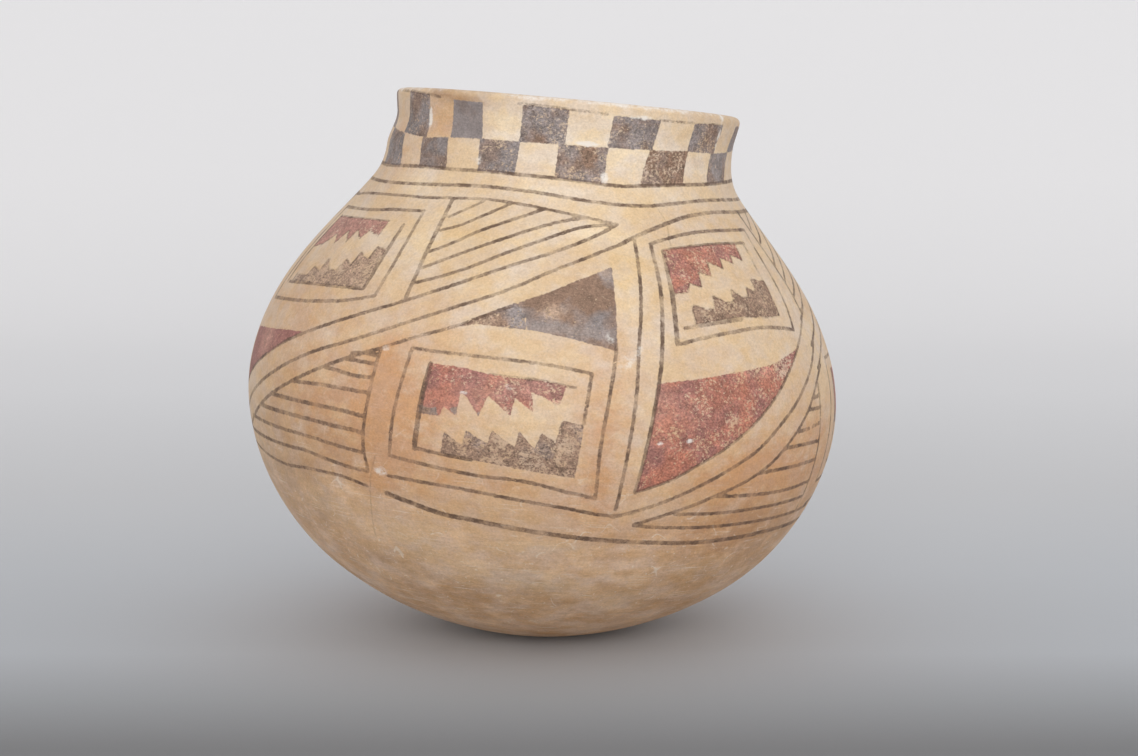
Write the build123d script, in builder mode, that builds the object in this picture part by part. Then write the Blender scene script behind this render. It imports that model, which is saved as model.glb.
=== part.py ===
"""Coil-built pueblo jar with a moulded round bottom, a full belly and a short upright neck.

The pieces are those that the potter joins: a bottom pressed into a shallow dish, then coils that are
laid one on another, each lapped over the one below, scraped thin, and trimmed to a slanting rim.

The jar stands as it settles on its round bottom, leaning a little towards +X. The origin is the middle
of the worn flat that it stands on, +Z is up and the front is towards -Y.
"""

import os
from math import asin, cos, degrees, radians, sin, sqrt, tan

from build123d import *

# Sizes of the moulded bottom, in millimetres
base_radius = 139.0         # ball that the outside of the bottom follows
bowl_diameter = 166.0       # width of the bottom where the coiled wall rises from it
facet_radius = 16.0         # worn flat that the jar stands on

# Outside sizes of the coiled wall, with heights along the jar's own axis
belly_diameter = 239.5
belly_height = 100.5        # above the foot of the axis
shoulder_diameter = 203.5
shoulder_rise = 48.5        # belly to shoulder
neck_foot_spread = 4.5      # how far the foot of the neck stands out from the throat
neck_foot_rise = 31.0       # shoulder to the foot of the neck
throat_diameter = 144.5
throat_rise = 6.5           # foot of the neck to throat
mouth_diameter = 142.5
rim_rise = 30.5             # throat to rim, on the axis
mouth_turn_in = 4.0         # degrees that the top of the neck leans inwards

# Clay
wall = 6.0
lap = 6.0                   # how far each coil reaches down inside the one below
lip_round = 2.6             # rounding of the lip's two edges
trim_allowance = 3.0        # clay above the highest point of the rim before it is cut
belly_coils = 4
shoulder_coils = 3
neck_coils = 2

# Stance, in degrees
lean = 4.0                  # of the axis, towards +X
rim_slope = 3.5             # of the rim against the jar's own axis
rim_high_side = -18.0       # where the rim is highest, round from the front towards +X

# Section of the outside: a round bottom, then one curve through the wall's stations
bowl_angle = asin(bowl_diameter / 2 / base_radius)
bowl_edge = Vector(bowl_diameter / 2, base_radius * (1 - cos(bowl_angle)))
bowl_edge_way = Vector(cos(bowl_angle), sin(bowl_angle))
mouth_way = Vector(-sin(radians(mouth_turn_in)), cos(radians(mouth_turn_in)))

shoulder_height = belly_height + shoulder_rise
neck_foot_height = shoulder_height + neck_foot_rise
throat_height = neck_foot_height + throat_rise
rim_height = throat_height + rim_rise
blank_height = rim_height + mouth_diameter / 2 * tan(radians(rim_slope)) + trim_allowance

outer_stations = [
    bowl_edge,
    Vector(belly_diameter / 2, belly_height),
    Vector(shoulder_diameter / 2, shoulder_height),
    Vector(throat_diameter / 2 + neck_foot_spread, neck_foot_height),
    Vector(throat_diameter / 2, throat_height),
    Vector(mouth_diameter / 2, blank_height),
]
with BuildLine() as outside:
    Spline(*outer_stations, tangents=(bowl_edge_way, mouth_way))
outer_curve = outside.edge()


def inside_of(station):
    """Point one wall in from a station, square to the outside."""
    way = outer_curve.tangent_at(station)
    return station + Vector(-way.Y, way.X) * wall


with BuildLine() as inside:
    Spline(*[inside_of(station) for station in outer_stations], tangents=(bowl_edge_way, mouth_way))
inner_curve = inside.edge()

# Coil joints, as shares of the two curves: high on the outside and a lap lower on the inside
coil_count = belly_coils + shoulder_coils + neck_coils + 1
lap_share = lap / outer_curve.length
coil_share = (1 - lap_share) / coil_count
outer_joints = [lap_share + number * coil_share for number in range(coil_count + 1)]
inner_joints = [number * coil_share for number in range(coil_count)] + [1.0]

# Stance: the ball of the bottom is cut by the ground, and the axis leans about the ball's centre
ball_height = sqrt(base_radius**2 - facet_radius**2)
axis_way = Vector(sin(radians(lean)), 0, cos(radians(lean)))
jar_foot = Vector(0, 0, ball_height) - axis_way * base_radius
jar_plane = Plane(origin=jar_foot, x_dir=(cos(radians(lean)), 0, -sin(radians(lean))), z_dir=axis_way)
jar_axis = Axis(jar_foot, axis_way)
section_plane = Plane(origin=jar_foot, x_dir=jar_plane.x_dir, z_dir=-jar_plane.y_dir)
high_side = radians(rim_high_side)
high_way = jar_plane.x_dir * sin(high_side) - jar_plane.y_dir * cos(high_side)
rim_way = axis_way * cos(radians(rim_slope)) - high_way * sin(radians(rim_slope))
rim_plane = Plane(origin=jar_foot + axis_way * rim_height, z_dir=rim_way)


def coil_section(number):
    """Section of one coil, counted up from the bottom: two wall curves and two lapped joints."""
    with BuildSketch(section_plane) as section:
        with BuildLine():
            add(outer_curve.trim(outer_joints[number], outer_joints[number + 1]))
            add(inner_curve.trim(inner_joints[number], inner_joints[number + 1]))
            for joint in (number, number + 1):
                Line(outer_curve @ outer_joints[joint], inner_curve @ inner_joints[joint])
        make_face()
    return section.sketch


def write_piece(piece, name):
    """Label a finished piece and write it to its own file."""
    piece.label = name
    export_step(piece, f"parts/{name}.step")


os.makedirs("parts", exist_ok=True)

# Bottom, pressed into the moulding dish, with its worn flat on the ground
with BuildPart() as base_bowl:
    with BuildSketch(section_plane):
        with BuildLine():
            CenterArc((0, base_radius), base_radius, -90, degrees(bowl_angle))
            add(outer_curve.trim(0, outer_joints[0]))
            Line(outer_curve @ outer_joints[0], inner_curve @ 0)
            CenterArc((0, base_radius), base_radius - wall, -90, degrees(bowl_angle))
            Line((0, 0), (0, wall))
        make_face()
    revolve(axis=jar_axis)
    split(bisect_by=Plane.XY, keep=Keep.TOP)
write_piece(base_bowl.part, "base_bowl")

# Coils of the belly, the shoulder and the neck, from the bottom up
coil_names = [f"belly_coil_{number + 1}" for number in range(belly_coils)]
coil_names += [f"shoulder_coil_{number + 1}" for number in range(shoulder_coils)]
coil_names += [f"neck_coil_{number + 1}" for number in range(neck_coils)]
for number, coil_name in enumerate(coil_names):
    with BuildPart() as coil:
        revolve(coil_section(number), axis=jar_axis)
    write_piece(coil.part, coil_name)

# Last coil, trimmed on the slant and rounded to a lip
with BuildPart() as rim_coil:
    revolve(coil_section(coil_count - 1), axis=jar_axis)
    split(bisect_by=rim_plane, keep=Keep.BOTTOM)
    lip = rim_coil.faces().sort_by(jar_axis)[-1]
    fillet(lip.edges(), radius=min(lip_round, 0.45 * wall))
write_piece(rim_coil.part, "rim_coil")
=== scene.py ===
"""Looks of a coil-built pueblo jar: burnished clay, cream slip and worn mineral paint in a plain studio.

Each coil of the frame gets one closed ring of clay on a fine grid. The painter's pattern is written as
brush strokes and filled shapes, in degrees round the jar and millimetres above or below a level near its
belly. Every vertex of a ring keeps its distance to the nearest brush edge, and the slip's material turns
those distances into dry, worn paint. Distances in this file are in millimetres unless they say metres.
"""

import logging
import math
from collections.abc import Iterable, Sequence
from dataclasses import dataclass, field, replace
from enum import Enum
from itertools import cycle

import bpy
import numpy as np
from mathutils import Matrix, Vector

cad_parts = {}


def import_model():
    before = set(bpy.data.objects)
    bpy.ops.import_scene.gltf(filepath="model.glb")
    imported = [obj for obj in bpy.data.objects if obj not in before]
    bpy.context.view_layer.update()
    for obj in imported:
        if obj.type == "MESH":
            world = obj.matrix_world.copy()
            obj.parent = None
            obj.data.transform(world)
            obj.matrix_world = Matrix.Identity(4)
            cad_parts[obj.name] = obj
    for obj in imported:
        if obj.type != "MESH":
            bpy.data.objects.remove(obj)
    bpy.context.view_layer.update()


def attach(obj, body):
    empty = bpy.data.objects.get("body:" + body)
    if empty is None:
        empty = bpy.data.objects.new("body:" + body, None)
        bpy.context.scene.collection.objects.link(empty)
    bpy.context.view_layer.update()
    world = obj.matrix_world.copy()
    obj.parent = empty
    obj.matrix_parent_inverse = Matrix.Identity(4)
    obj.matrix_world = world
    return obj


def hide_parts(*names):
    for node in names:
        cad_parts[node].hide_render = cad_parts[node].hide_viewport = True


LOG = logging.getLogger("pueblo_jar")
MM = 0.001
PATTERN_LEVEL = 102.0   # height of the pattern's zero above the foot of the axis
FAR = 9.0               # a distance that counts as clear of all paint
TINY = 1e-9             # stands for nought where it divides

Spot = tuple[float, float]
Triple = tuple[float, float, float]
Colour = tuple[float, float, float, float]
Socket = bpy.types.NodeSocket


def srgb(red: int, green: int, blue: int) -> Colour:
    """Turn a colour as seen on a screen into the shader's linear values.

    Args:
        red: red from 0 to 255.
        green: green from 0 to 255.
        blue: blue from 0 to 255.

    Returns:
        The linear colour with full alpha.
    """
    shares = [channel / 255 for channel in (red, green, blue)]
    linear = [share / 12.92 if share <= 0.04045 else ((share + 0.055) / 1.055) ** 2.4 for share in shares]
    return (linear[0], linear[1], linear[2], 1.0)


def soft_step(value: np.ndarray, low: float, high: float) -> np.ndarray:
    """Rise softly from 0 to 1 while a value goes from low to high."""
    share = np.clip((value - low) / (high - low), 0, 1)
    return share * share * (3 - 2 * share)


def round_the_jar(theta: float, line: Sequence[Spot]) -> float:
    """Height, at some degrees round, of a line that is given through one whole turn."""
    turns, heights = zip(*line, strict=True)
    return float(np.interp((theta - turns[0]) % 360 + turns[0], turns, heights))


class Pigment(Enum):
    """Mineral paints on the slip."""

    DARK = "dark_edge"
    RED = "red_edge"


class Tint(Enum):
    """Soft patches from fire, handling, repair and painted shade on the slip, and the last three on its
    paint.
    """

    BLUSH = "blush"
    GOLD = "gold"
    SMOKE = "smoke"
    CHALK = "chalk"
    PALE = "pale"
    WORN = "wear"
    PALED_AND_SHADED = "fade"
    BROWNED = "warmth"


@dataclass(frozen=True)
class Stroke:
    """One pull of the brush.

    Attributes:
        spots: places on its middle line, as degrees round and height.
        width: width of the line.
        load: how full the brush is, from 0, dry, to 1.
        curved: whether the line bends smoothly through its places.
    """

    spots: Sequence[Spot]
    width: float = 1.35
    load: float = 0.85
    curved: bool = True


@dataclass(frozen=True)
class Fill:
    """A shape filled with paint, given by its corners.

    Attributes:
        spots: corners, as degrees round and height.
        pigment: paint that fills it.
        wear: how unevenly the paint has rubbed off.
        fade: how far all of it has paled; less than 0 is a denser coat.
        warmth: how far its hue leans, from -1, the cooler of the paint's two hues, to 1, the warmer.
        outline: width of the thin line round it, or 0 for none.
    """

    spots: Sequence[Spot]
    pigment: Pigment = Pigment.DARK
    wear: float = 0.35
    fade: float = 0.0
    warmth: float = 0.0
    outline: float = 0.0


@dataclass(frozen=True)
class Patch:
    """A soft patch of colour.

    Attributes:
        tint: what the patch is.
        spot: its middle, as degrees round and height.
        reach: how far it spreads round and up.
        strength: how strong it is in its middle.
    """

    tint: Tint
    spot: Spot
    reach: Spot
    strength: float = 1.0


def brush_line(spots: Sequence[Spot], curved: bool, steps: int = 6) -> np.ndarray:
    """Draw a smooth line through given places.

    Args:
        spots: places as degrees round and height.
        curved: whether the line bends smoothly, or runs straight from place to place.
        steps: pieces that each span is divided into.

    Returns:
        An array of places, one per row.
    """
    knots = np.array(spots, dtype=float)
    if not curved or len(knots) < 3:
        return knots
    before = np.vstack([2 * knots[0] - knots[1], knots[:-1]])[:-1]
    after = np.vstack([knots[1:], 2 * knots[-1] - knots[-2]])[1:]
    start, end = knots[:-1], knots[1:]
    line = []
    for share in np.arange(steps) / steps:
        square, cube = share**2, share**3
        line.append(
            0.5 * (2 * start + (end - before) * share + (2 * before - 5 * start + 4 * end - after) * square
                   + (3 * start - before - 3 * end + after) * cube)
        )
    return np.vstack([np.stack(line, axis=1).reshape(-1, 2), knots[-1:]])


@dataclass
class WallSection:
    """Half section of the wall: a round bottom, then one curve through the wall's stations.

    Radii are from the jar's axis, and heights are above the foot of the axis.
    """

    base_radius: float = 139.0
    bowl_radius: float = 83.0
    belly: Spot = (119.75, 100.5)
    shoulder: Spot = (101.75, 149.0)
    neck_foot: Spot = (76.75, 180.0)
    throat: Spot = (72.25, 186.5)
    mouth_radius: float = 71.25
    mouth_turn_in: float = 4.0
    rim_height: float = 217.0
    rim_slope: float = 3.5
    rim_high_side: float = -18.0
    trim_allowance: float = 3.0
    wall: float = 6.0
    lap: float = 6.0
    lip_round: float = 2.6
    coils: int = 10
    arc_points: int = 160
    span_points: int = 120
    joints: np.ndarray = field(init=False)

    def __post_init__(self) -> None:
        """Trace the outside once, and place the coil joints on it."""
        angle = math.asin(self.bowl_radius / self.base_radius)
        turns = np.linspace(0, angle, self.arc_points)[:-1]
        arc = self.base_radius * np.column_stack([np.sin(turns), 1 - np.cos(turns)])
        rise = self.mouth_radius * math.tan(math.radians(self.rim_slope)) + self.trim_allowance
        stations = np.array([
            (self.bowl_radius, self.base_radius * (1 - math.cos(angle))), self.belly, self.shoulder,
            self.neck_foot, self.throat, (self.mouth_radius, self.rim_height + rise),
        ])
        turn_in = math.radians(self.mouth_turn_in)
        bowl_way = np.array([math.cos(angle), math.sin(angle)])
        mouth_way = np.array([-math.sin(turn_in), math.cos(turn_in)])
        coiled = self._clamped_curve(stations, bowl_way, mouth_way)
        self._trace = np.vstack([arc, coiled])
        self._runs = np.concatenate([[0.0], np.cumsum(np.hypot(*np.diff(self._trace, axis=0).T))])
        self._ways = np.gradient(self._trace, self._runs, axis=0)
        self.bowl_run = self.base_radius * angle
        coil = (self._runs[-1] - self.bowl_run - self.lap) / self.coils
        self.joints = self.bowl_run + self.lap + coil * np.arange(self.coils + 1)

    def _clamped_curve(self, stations: np.ndarray, first_way: np.ndarray, last_way: np.ndarray) -> np.ndarray:
        """Draw the smoothest curve through stations with set directions at both ends.

        Args:
            stations: radius and height of each station.
            first_way: direction at the first station.
            last_way: direction at the last one.

        Returns:
            Points along the curve.
        """
        spans = np.hypot(*np.diff(stations, axis=0).T)
        count = len(stations)
        system, right = np.eye(count), np.zeros((count, 2))
        right[0], right[-1] = first_way, last_way
        for inner in range(1, count - 1):
            low, high = spans[inner - 1], spans[inner]
            system[inner, inner - 1:inner + 2] = high, 2 * (low + high), low
            slopes = np.diff(stations[inner - 1:inner + 2], axis=0) / np.array([[low], [high]])
            right[inner] = 3 * (high * slopes[0] + low * slopes[1])
        ways = np.linalg.solve(system, right)
        pieces = []
        for number, span in enumerate(spans):
            share = np.linspace(0, 1, self.span_points)[:, None]
            share = share if number == len(spans) - 1 else share[:-1]
            start, end = stations[number], stations[number + 1]
            pieces.append(
                start * (1 + 2 * share) * (1 - share) ** 2 + end * share**2 * (3 - 2 * share)
                + span * (ways[number] * share * (1 - share) ** 2 - ways[number + 1] * share**2 * (1 - share))
            )
        return np.vstack(pieces)

    def at(self, run: np.ndarray) -> tuple[np.ndarray, np.ndarray, np.ndarray, np.ndarray]:
        """Find the outside at distances along it.

        Args:
            run: distances from the middle of the bottom along the outside.

        Returns:
            Radii, heights, and the direction's parts outwards and upwards.
        """
        columns = (self._trace[:, 0], self._trace[:, 1], self._ways[:, 0], self._ways[:, 1])
        radius, height, out, up = (np.interp(run, self._runs, column) for column in columns)
        size = np.hypot(out, up)
        return radius, height, out / size, up / size

    def run_at(self, height: np.ndarray) -> np.ndarray:
        """Distance along the outside at heights above the foot."""
        return np.interp(height, self._trace[:, 1], self._runs)

    def rim_run(self, theta: np.ndarray, radius: float) -> np.ndarray:
        """Where the slanting rim cuts a wall of some radius, as distances along the outside."""
        turn = np.radians(theta - self.rim_high_side)
        rise = math.tan(math.radians(self.rim_slope)) * radius * np.cos(turn)
        return self.run_at(self.rim_height + rise)


@dataclass(frozen=True)
class Stance:
    """How the jar settles: the ball of its bottom is worn flat, and its axis leans towards +X."""

    base_radius: float = 139.0
    facet_radius: float = 16.0
    lean: float = 4.0

    def place(self, theta: np.ndarray, radius: np.ndarray, height: np.ndarray) -> np.ndarray:
        """Put points of the jar's own frame into the room.

        Args:
            theta: degrees round from the front towards +X.
            radius: distance from the axis.
            height: height along the axis above its foot.

        Returns:
            Places in metres, with the last index for x, y and z.
        """
        turn, lean = np.radians(theta), math.radians(self.lean)
        ball_height = math.sqrt(self.base_radius**2 - self.facet_radius**2)
        along = height - self.base_radius
        side, back = radius * np.sin(turn), -radius * np.cos(turn)
        x = side * math.cos(lean) + along * math.sin(lean)
        z = ball_height - side * math.sin(lean) + along * math.cos(lean)
        return np.stack([x, back, np.maximum(z, 0.0)], axis=-1) * MM


class PaintedGrid:
    """Vertices of one ring's outside, with their distances to the paint and their soft patches."""

    paint_values = ("wear", "fade", "warmth")
    brush_spread = 1.12     # how much wider than the brush a line dries
    outline_load = 0.55     # brush load of the thin line round a shape
    least_radius = 60.0     # of the wall where it is painted

    def __init__(self, section: WallSection, theta: np.ndarray, run: np.ndarray) -> None:
        """Lay out a bare grid.

        Args:
            section: section of the wall.
            theta: degrees round, by row and column.
            run: distances along the outside, by row and column.
        """
        self.section = section
        self.theta, self.run = theta.ravel(), run.ravel()
        self.radius, height, _, _ = section.at(self.run)
        self.height = height - PATTERN_LEVEL
        self.values = {name: np.full(self.theta.size, FAR)
                       for name in ("brush_edge", "crack_edge", Pigment.DARK.value, Pigment.RED.value)}
        self.values |= {name: np.zeros(self.theta.size)
                        for name in ("brush_load", *(tint.value for tint in Tint))}

    def _near(self, line: np.ndarray, reach: float) -> tuple[np.ndarray, np.ndarray, np.ndarray]:
        """Choose the vertices near a line.

        Args:
            line: places as degrees round and height.
            reach: how near they have to be.

        Returns:
            Indices of those vertices, the line's places as seen from each, and their sideways distances.
        """
        runs = self.section.run_at(line[:, 1] + PATTERN_LEVEL)
        middle = (line[:, 0].min() + line[:, 0].max()) / 2
        span = (line[:, 0].max() - line[:, 0].min()) / 2
        turn = (self.theta - middle + 180) % 360 - 180
        beside = np.abs(turn) < span + math.degrees(reach / self.least_radius)
        level = (self.run > runs.min() - reach) & (self.run < runs.max() + reach)
        chosen = np.flatnonzero(beside & level)
        across = np.radians(line[None, :, 0] - middle - turn[chosen, None]) * self.radius[chosen, None]
        return chosen, across, runs[None, :] - self.run[chosen, None]

    @staticmethod
    def _distance(across: np.ndarray, up: np.ndarray) -> np.ndarray:
        """Least distance from each vertex to a chain of straight spans.

        Args:
            across: sideways distance to each place of the chain, one row per vertex.
            up: distance up the wall to each place.

        Returns:
            One distance per vertex.
        """
        step_across, step_up = np.diff(across, axis=1), np.diff(up, axis=1)
        size = np.maximum(step_across**2 + step_up**2, TINY)
        share = np.clip(-(across[:, :-1] * step_across + up[:, :-1] * step_up) / size, 0, 1)
        return np.hypot(across[:, :-1] + share * step_across, up[:, :-1] + share * step_up).min(axis=1)

    def draw(self, stroke: Stroke, layer: str = "brush_edge") -> None:
        """Lay one stroke.

        Args:
            stroke: the stroke.
            layer: the distances that it adds to.
        """
        chosen, across, up = self._near(brush_line(stroke.spots, stroke.curved), FAR)
        if not chosen.size:
            return
        edge = self._distance(across, up) - self.brush_spread * stroke.width / 2
        nearer = edge < self.values[layer][chosen]
        self.values[layer][chosen[nearer]] = edge[nearer]
        if layer == "brush_edge":
            self.values["brush_load"][chosen[nearer]] = stroke.load

    def fill(self, shape: Fill) -> None:
        """Fill one shape.

        Args:
            shape: the shape.
        """
        corners = np.array([*shape.spots, shape.spots[0]], dtype=float)
        chosen, across, up = self._near(corners, FAR)
        if not chosen.size:
            return
        edge = self._distance(across, up)
        low, high = up[:, :-1], up[:, 1:]
        crosses = (low > 0) != (high > 0)
        rise = np.where(high == low, TINY, high - low)
        meets = across[:, :-1] - low * np.diff(across, axis=1) / rise > 0
        inside = (crosses & meets).sum(axis=1) % 2 == 1
        edge = np.where(inside, -edge, edge)
        layer = self.values[shape.pigment.value]
        nearer = edge < layer[chosen]
        layer[chosen[nearer]] = edge[nearer]
        for name in self.paint_values:
            self.values[name][chosen[nearer]] = getattr(shape, name)
        if shape.outline:
            self.draw(Stroke([*shape.spots, shape.spots[0]], shape.outline, self.outline_load, curved=False))

    def tint(self, patch: Patch) -> None:
        """Add one soft patch.

        Args:
            patch: the patch.
        """
        turn = (self.theta - patch.spot[0] + 180) % 360 - 180
        fall = (turn / patch.reach[0]) ** 2 + ((self.height - patch.spot[1]) / patch.reach[1]) ** 2
        self.values[patch.tint.value] += patch.strength * np.exp(-fall)


@dataclass(frozen=True)
class Motif:
    """A part of the design: its brush strokes and its filled shapes."""

    strokes: Sequence[Stroke]
    fills: Sequence[Fill] = ()


@dataclass(frozen=True)
class Setting:
    """Where a half of the design is repeated round the jar.

    Attributes:
        start: degrees at which the half was first drawn.
        place: degrees at which it is drawn now.
        squeeze: its width against the first drawing.
        sag: how far the base lines ride up towards the jar's left, where the painter's bands don't close.
        sag_from: height at which the sag starts.
        sag_depth: how far below that it is full.
    """

    start: float = 0.0
    place: float = 0.0
    squeeze: float = 1.0
    sag: Sequence[Spot] = (
        (-80, 16), (-60, 14), (-33, 13), (-15, 6), (0, 2.5), (15, 0), (230, 0), (280, 16),
    )
    sag_from: float = 30.0
    sag_depth: float = 55.0

    def move(self, spots: Iterable[Spot]) -> list[Spot]:
        """Move places from the first drawing to this setting.

        Args:
            spots: places of the first drawing.

        Returns:
            The same places here.
        """
        moved = []
        for theta, height in spots:
            here = self.place + (theta - self.start) * self.squeeze
            share = min(max((self.sag_from - height) / self.sag_depth, 0), 1)
            lift = round_the_jar(here, self.sag) - round_the_jar(theta, self.sag)
            moved.append((here, height + share * lift))
        return moved

    def repeat(self, motif: Motif) -> Motif:
        """The same strokes and shapes at this setting."""
        strokes, fills = ([replace(mark, spots=self.move(mark.spots)) for mark in marks]
                          for marks in (motif.strokes, motif.fills))
        return Motif(strokes, fills)


# Left half of the design: a framed panel of teeth over a red triangle, with a hatched corner below
PANEL_HALF = Motif(
    strokes=(
        Stroke(((25.2, 66.5), (32, 69), (40, 70.8), (50, 71.5), (65.5, 71.3))),
        Stroke(((65.5, 71.3), (64, 60), (63, 45), (61.5, 35.5)), load=0.7),
        Stroke(((26.2, 31.2), (33, 33.8), (40, 35.5), (48, 36.8), (55, 36.3), (61.5, 35)), load=0.7),
        Stroke(((28.3, 64), (27, 45), (26.2, 31.5)), 1.9),
        Stroke(((28.2, 64.4), (36, 65.8), (46, 66.8), (60, 66.8)), 1.2),
        Stroke(((59.5, 66.5), (58.6, 60), (58, 54)), load=0.35),
        Stroke(((28.5, 37), (36, 38.8), (44, 40)), load=0.6),
        Stroke(((21, 68), (20.3, 55), (19.2, 42), (18, 30), (17.3, 15), (16.6, 2), (16, -10),
                (15.2, -31)), 1.3),
        Stroke(((25.2, 66.5), (24.8, 52), (23.5, 38), (22.4, 25), (20.2, 2), (18.4, -24)), 1.5),
        Stroke(((18.5, -24), (25, -19), (30, -13.5), (36, -7), (42, 1), (48, 10), (54, 19.5), (60, 28),
                (64, 33), (71, 41.5)), 1.2, 0.75),
        Stroke(((15, -34), (20, -31), (26, -26.5), (32, -21), (38, -15), (44, -8.5), (50, 0.5), (56, 9),
                (62, 17.5), (66, 23.5), (70, 29.5))),
        Stroke(((19.5, -37), (24, -34), (30, -30), (36, -25.5), (42, -21), (46, -17), (50, -12), (55, -4),
                (60, 4.5), (64, 12), (67, 17), (70, 20.5))),
        Stroke(((66, 14), (66.2, -8), (66.5, -37.5)), load=0.7),
        Stroke(((63, 9), (66.3, 9.5))),
        Stroke(((60, 4.7), (66.4, 4.8))),
        Stroke(((56.5, -3), (60.5, -2.5))),
        Stroke(((62, -2), (66, -1.3)), load=0.7),
        Stroke(((51.5, -9), (58, -8.5), (66.3, -8.5))),
        Stroke(((45.5, -17.7), (55, -16.8), (66.5, -16))),
        Stroke(((36, -26), (45, -26.5), (55, -26.3), (66.5, -25))),
        Stroke(((27.5, -32.8), (38, -33), (50, -32.3), (66.5, -31.3))),
        Stroke(((19.5, -37.3), (25, -38.2), (35, -38.7), (45, -38.4), (55, -38), (75, -37.5))),
    ),
    fills=(
        Fill(((28, 64.5), (36, 66), (46, 66.8), (55, 66.7), (54, 60.7), (50, 63), (49.5, 59.8), (45.5, 62),
              (44.8, 58), (40.3, 60.8), (39.8, 55.3), (36.3, 57), (35.7, 51.5), (32.7, 53), (31.5, 49.7),
              (28, 49.3)), Pigment.RED, 0.46, 0.08, 0.1, 0.8),
        Fill(((31.5, 38.5), (38, 40), (44, 41), (52, 40.3), (57.8, 40.6), (58.5, 53.3), (56, 53.2),
              (53.2, 54.5), (52.5, 49.5), (49.8, 51.2), (48.8, 47.9), (47, 47.5), (44.2, 50.6), (43.5, 46),
              (41, 46.2), (38, 48.6), (37.3, 44), (35.5, 43.5), (32.2, 45.3), (31.4, 44.5)),
             Pigment.DARK, 0.52, 0.05, 0.9, 0.8),
        Fill(((21.3, 17), (30, 19), (40, 21.3), (50, 23.5), (60.5, 28.5), (54, 19.5), (48, 10), (42, 1),
              (36, -7), (30, -13.5), (25, -19), (18.5, -24), (20, -3)), Pigment.RED, 0.42, 0.0),
    ),
)

# Right half of the design: a hatched corner over a black triangle, with a framed panel below
HATCH_HALF = Motif(
    strokes=(
        Stroke(((-31, 77), (-30.8, 60), (-30.6, 50), (-30.8, 41)), 1.6, 0.75),
        Stroke(((-29.5, 71), (-21, 78)), 1.1, 0.7),
        Stroke(((-29.8, 66), (-25, 68.5), (-20, 72.5), (-13, 77.8)), 1.2),
        Stroke(((-30, 58), (-25, 62), (-20, 66.5), (-15, 70), (-10, 73), (-3, 77)), 1.3),
        Stroke(((-30, 52), (-20, 60), (-10, 66.8), (0, 72.2), (9, 75)), 1.3),
        Stroke(((-30, 46.5), (-25, 49.5), (-20, 53), (-10, 61), (0, 67.5), (8, 71.5), (17, 73)), 1.3),
        Stroke(((-33, 38), (-20, 48), (-10, 55.5), (0, 61.7), (10, 68), (17, 73)), 1.35),
        Stroke(((-33, 28.6), (-20, 39), (-10, 46.5), (0, 55), (10, 61.8), (17, 66)), 1.3),
        Stroke(((-33, 21.6), (-25, 28), (-18, 33), (-14, 36.5), (-10, 40), (-7.4, 41.8)), 1.2, 0.7),
        Stroke(((13.5, 32), (13.4, 28), (12.8, 20), (12, 10), (11.3, 0), (10.9, -10),
                (11, -26.5)), 1.3, 0.75),
        Stroke(((-25.8, 23.5), (-18, 23.2), (-10, 23), (0, 22.2), (8.8, 19.9)), 1.2, 0.7),
        Stroke(((-25.8, 23.5), (-26.5, 12), (-27.3, 0), (-28, -17.3)), 1.3, 0.7),
        Stroke(((-28, -17.3), (-18, -19.5), (-10, -21), (-5, -21.2), (0, -22.3), (5, -24.5),
                (11, -26.7)), 1.3),
        Stroke(((8.8, 19.9), (8, 8), (7.6, 1)), 1.3, 0.65),
        Stroke(((-21.4, 18.5), (-22, 8), (-22.4, -2), (-22.8, -13)), 1.9, 0.8),
        Stroke(((-22.8, -13), (-18, -14), (-12, -15)), 1.3),
        Stroke(((-10, 17), (-5, 16.7), (0, 16.2), (6, 14.5)), 1.0, 0.5),
        Stroke(((-28.5, -25.3), (-14, -26.7), (-5, -28.7), (5, -31), (14, -33.5), (19, -32)), 1.3),
    ),
    fills=(
        Fill(((-18, 32.6), (-14, 36.9), (-10, 40.6), (-6.8, 43.1), (-4.9, 39.8), (-4, 33.9), (-14, 34.5)),
             Pigment.DARK, 0.36, 0.02, 0.2),
        Fill(((-6.5, 43.1), (0, 47.8), (5, 51.8), (13.9, 57.8), (13.9, 44), (13.6, 28.2),
              (10, 29.8), (5, 31.8), (0, 33.3), (-3.8, 33.9), (-4.7, 39.8)), Pigment.DARK, 0.2, 0.06, 0.25),
        Fill(((-21.5, 19), (-15, 18.5), (-10, 17), (0, 16.2), (4.2, 15), (3, 7.6), (0.2, 10.4), (-2, 11.8),
              (-1.4, 4.6), (-5, 9.5), (-5.4, 2.4), (-9.8, 9.4), (-11.2, 1.5), (-13.8, 8.5), (-14.8, 9.6),
              (-15.3, 0.6), (-17.6, 4), (-18.5, 0), (-22.4, 0.5)), Pigment.RED, 0.44, 0.05, 0.3),
        Fill(((-22.4, 3.6), (-20.6, 2.6), (-19.2, 3.4), (-18.5, 0), (-22.4, 0.5)), Pigment.DARK, 0.3, 0.15),
        Fill(((-16.6, 3.2), (-15.1, 4.6), (-15.3, 0.6)), Pigment.DARK, 0.3, 0.2),
        Fill(((-11.7, 3), (-10.8, 3.6), (-11.2, 1.5)), Pigment.DARK, 0.3, 0.3),
        Fill(((-17.7, -13.8), (-12, -15), (-6, -16.3), (0, -17.8), (6.8, -19), (7.7, 1), (3.7, 2.4),
              (2.8, -6), (0.3, -2.7), (-0.8, -9), (-3.8, -2.5), (-4.2, -9), (-8.6, -3.2), (-9.2, -8.5),
              (-13.3, -4), (-13.8, -10), (-17.4, -5.4)), Pigment.DARK, 0.64, 0.16, 0.6),
    ),
)

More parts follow.
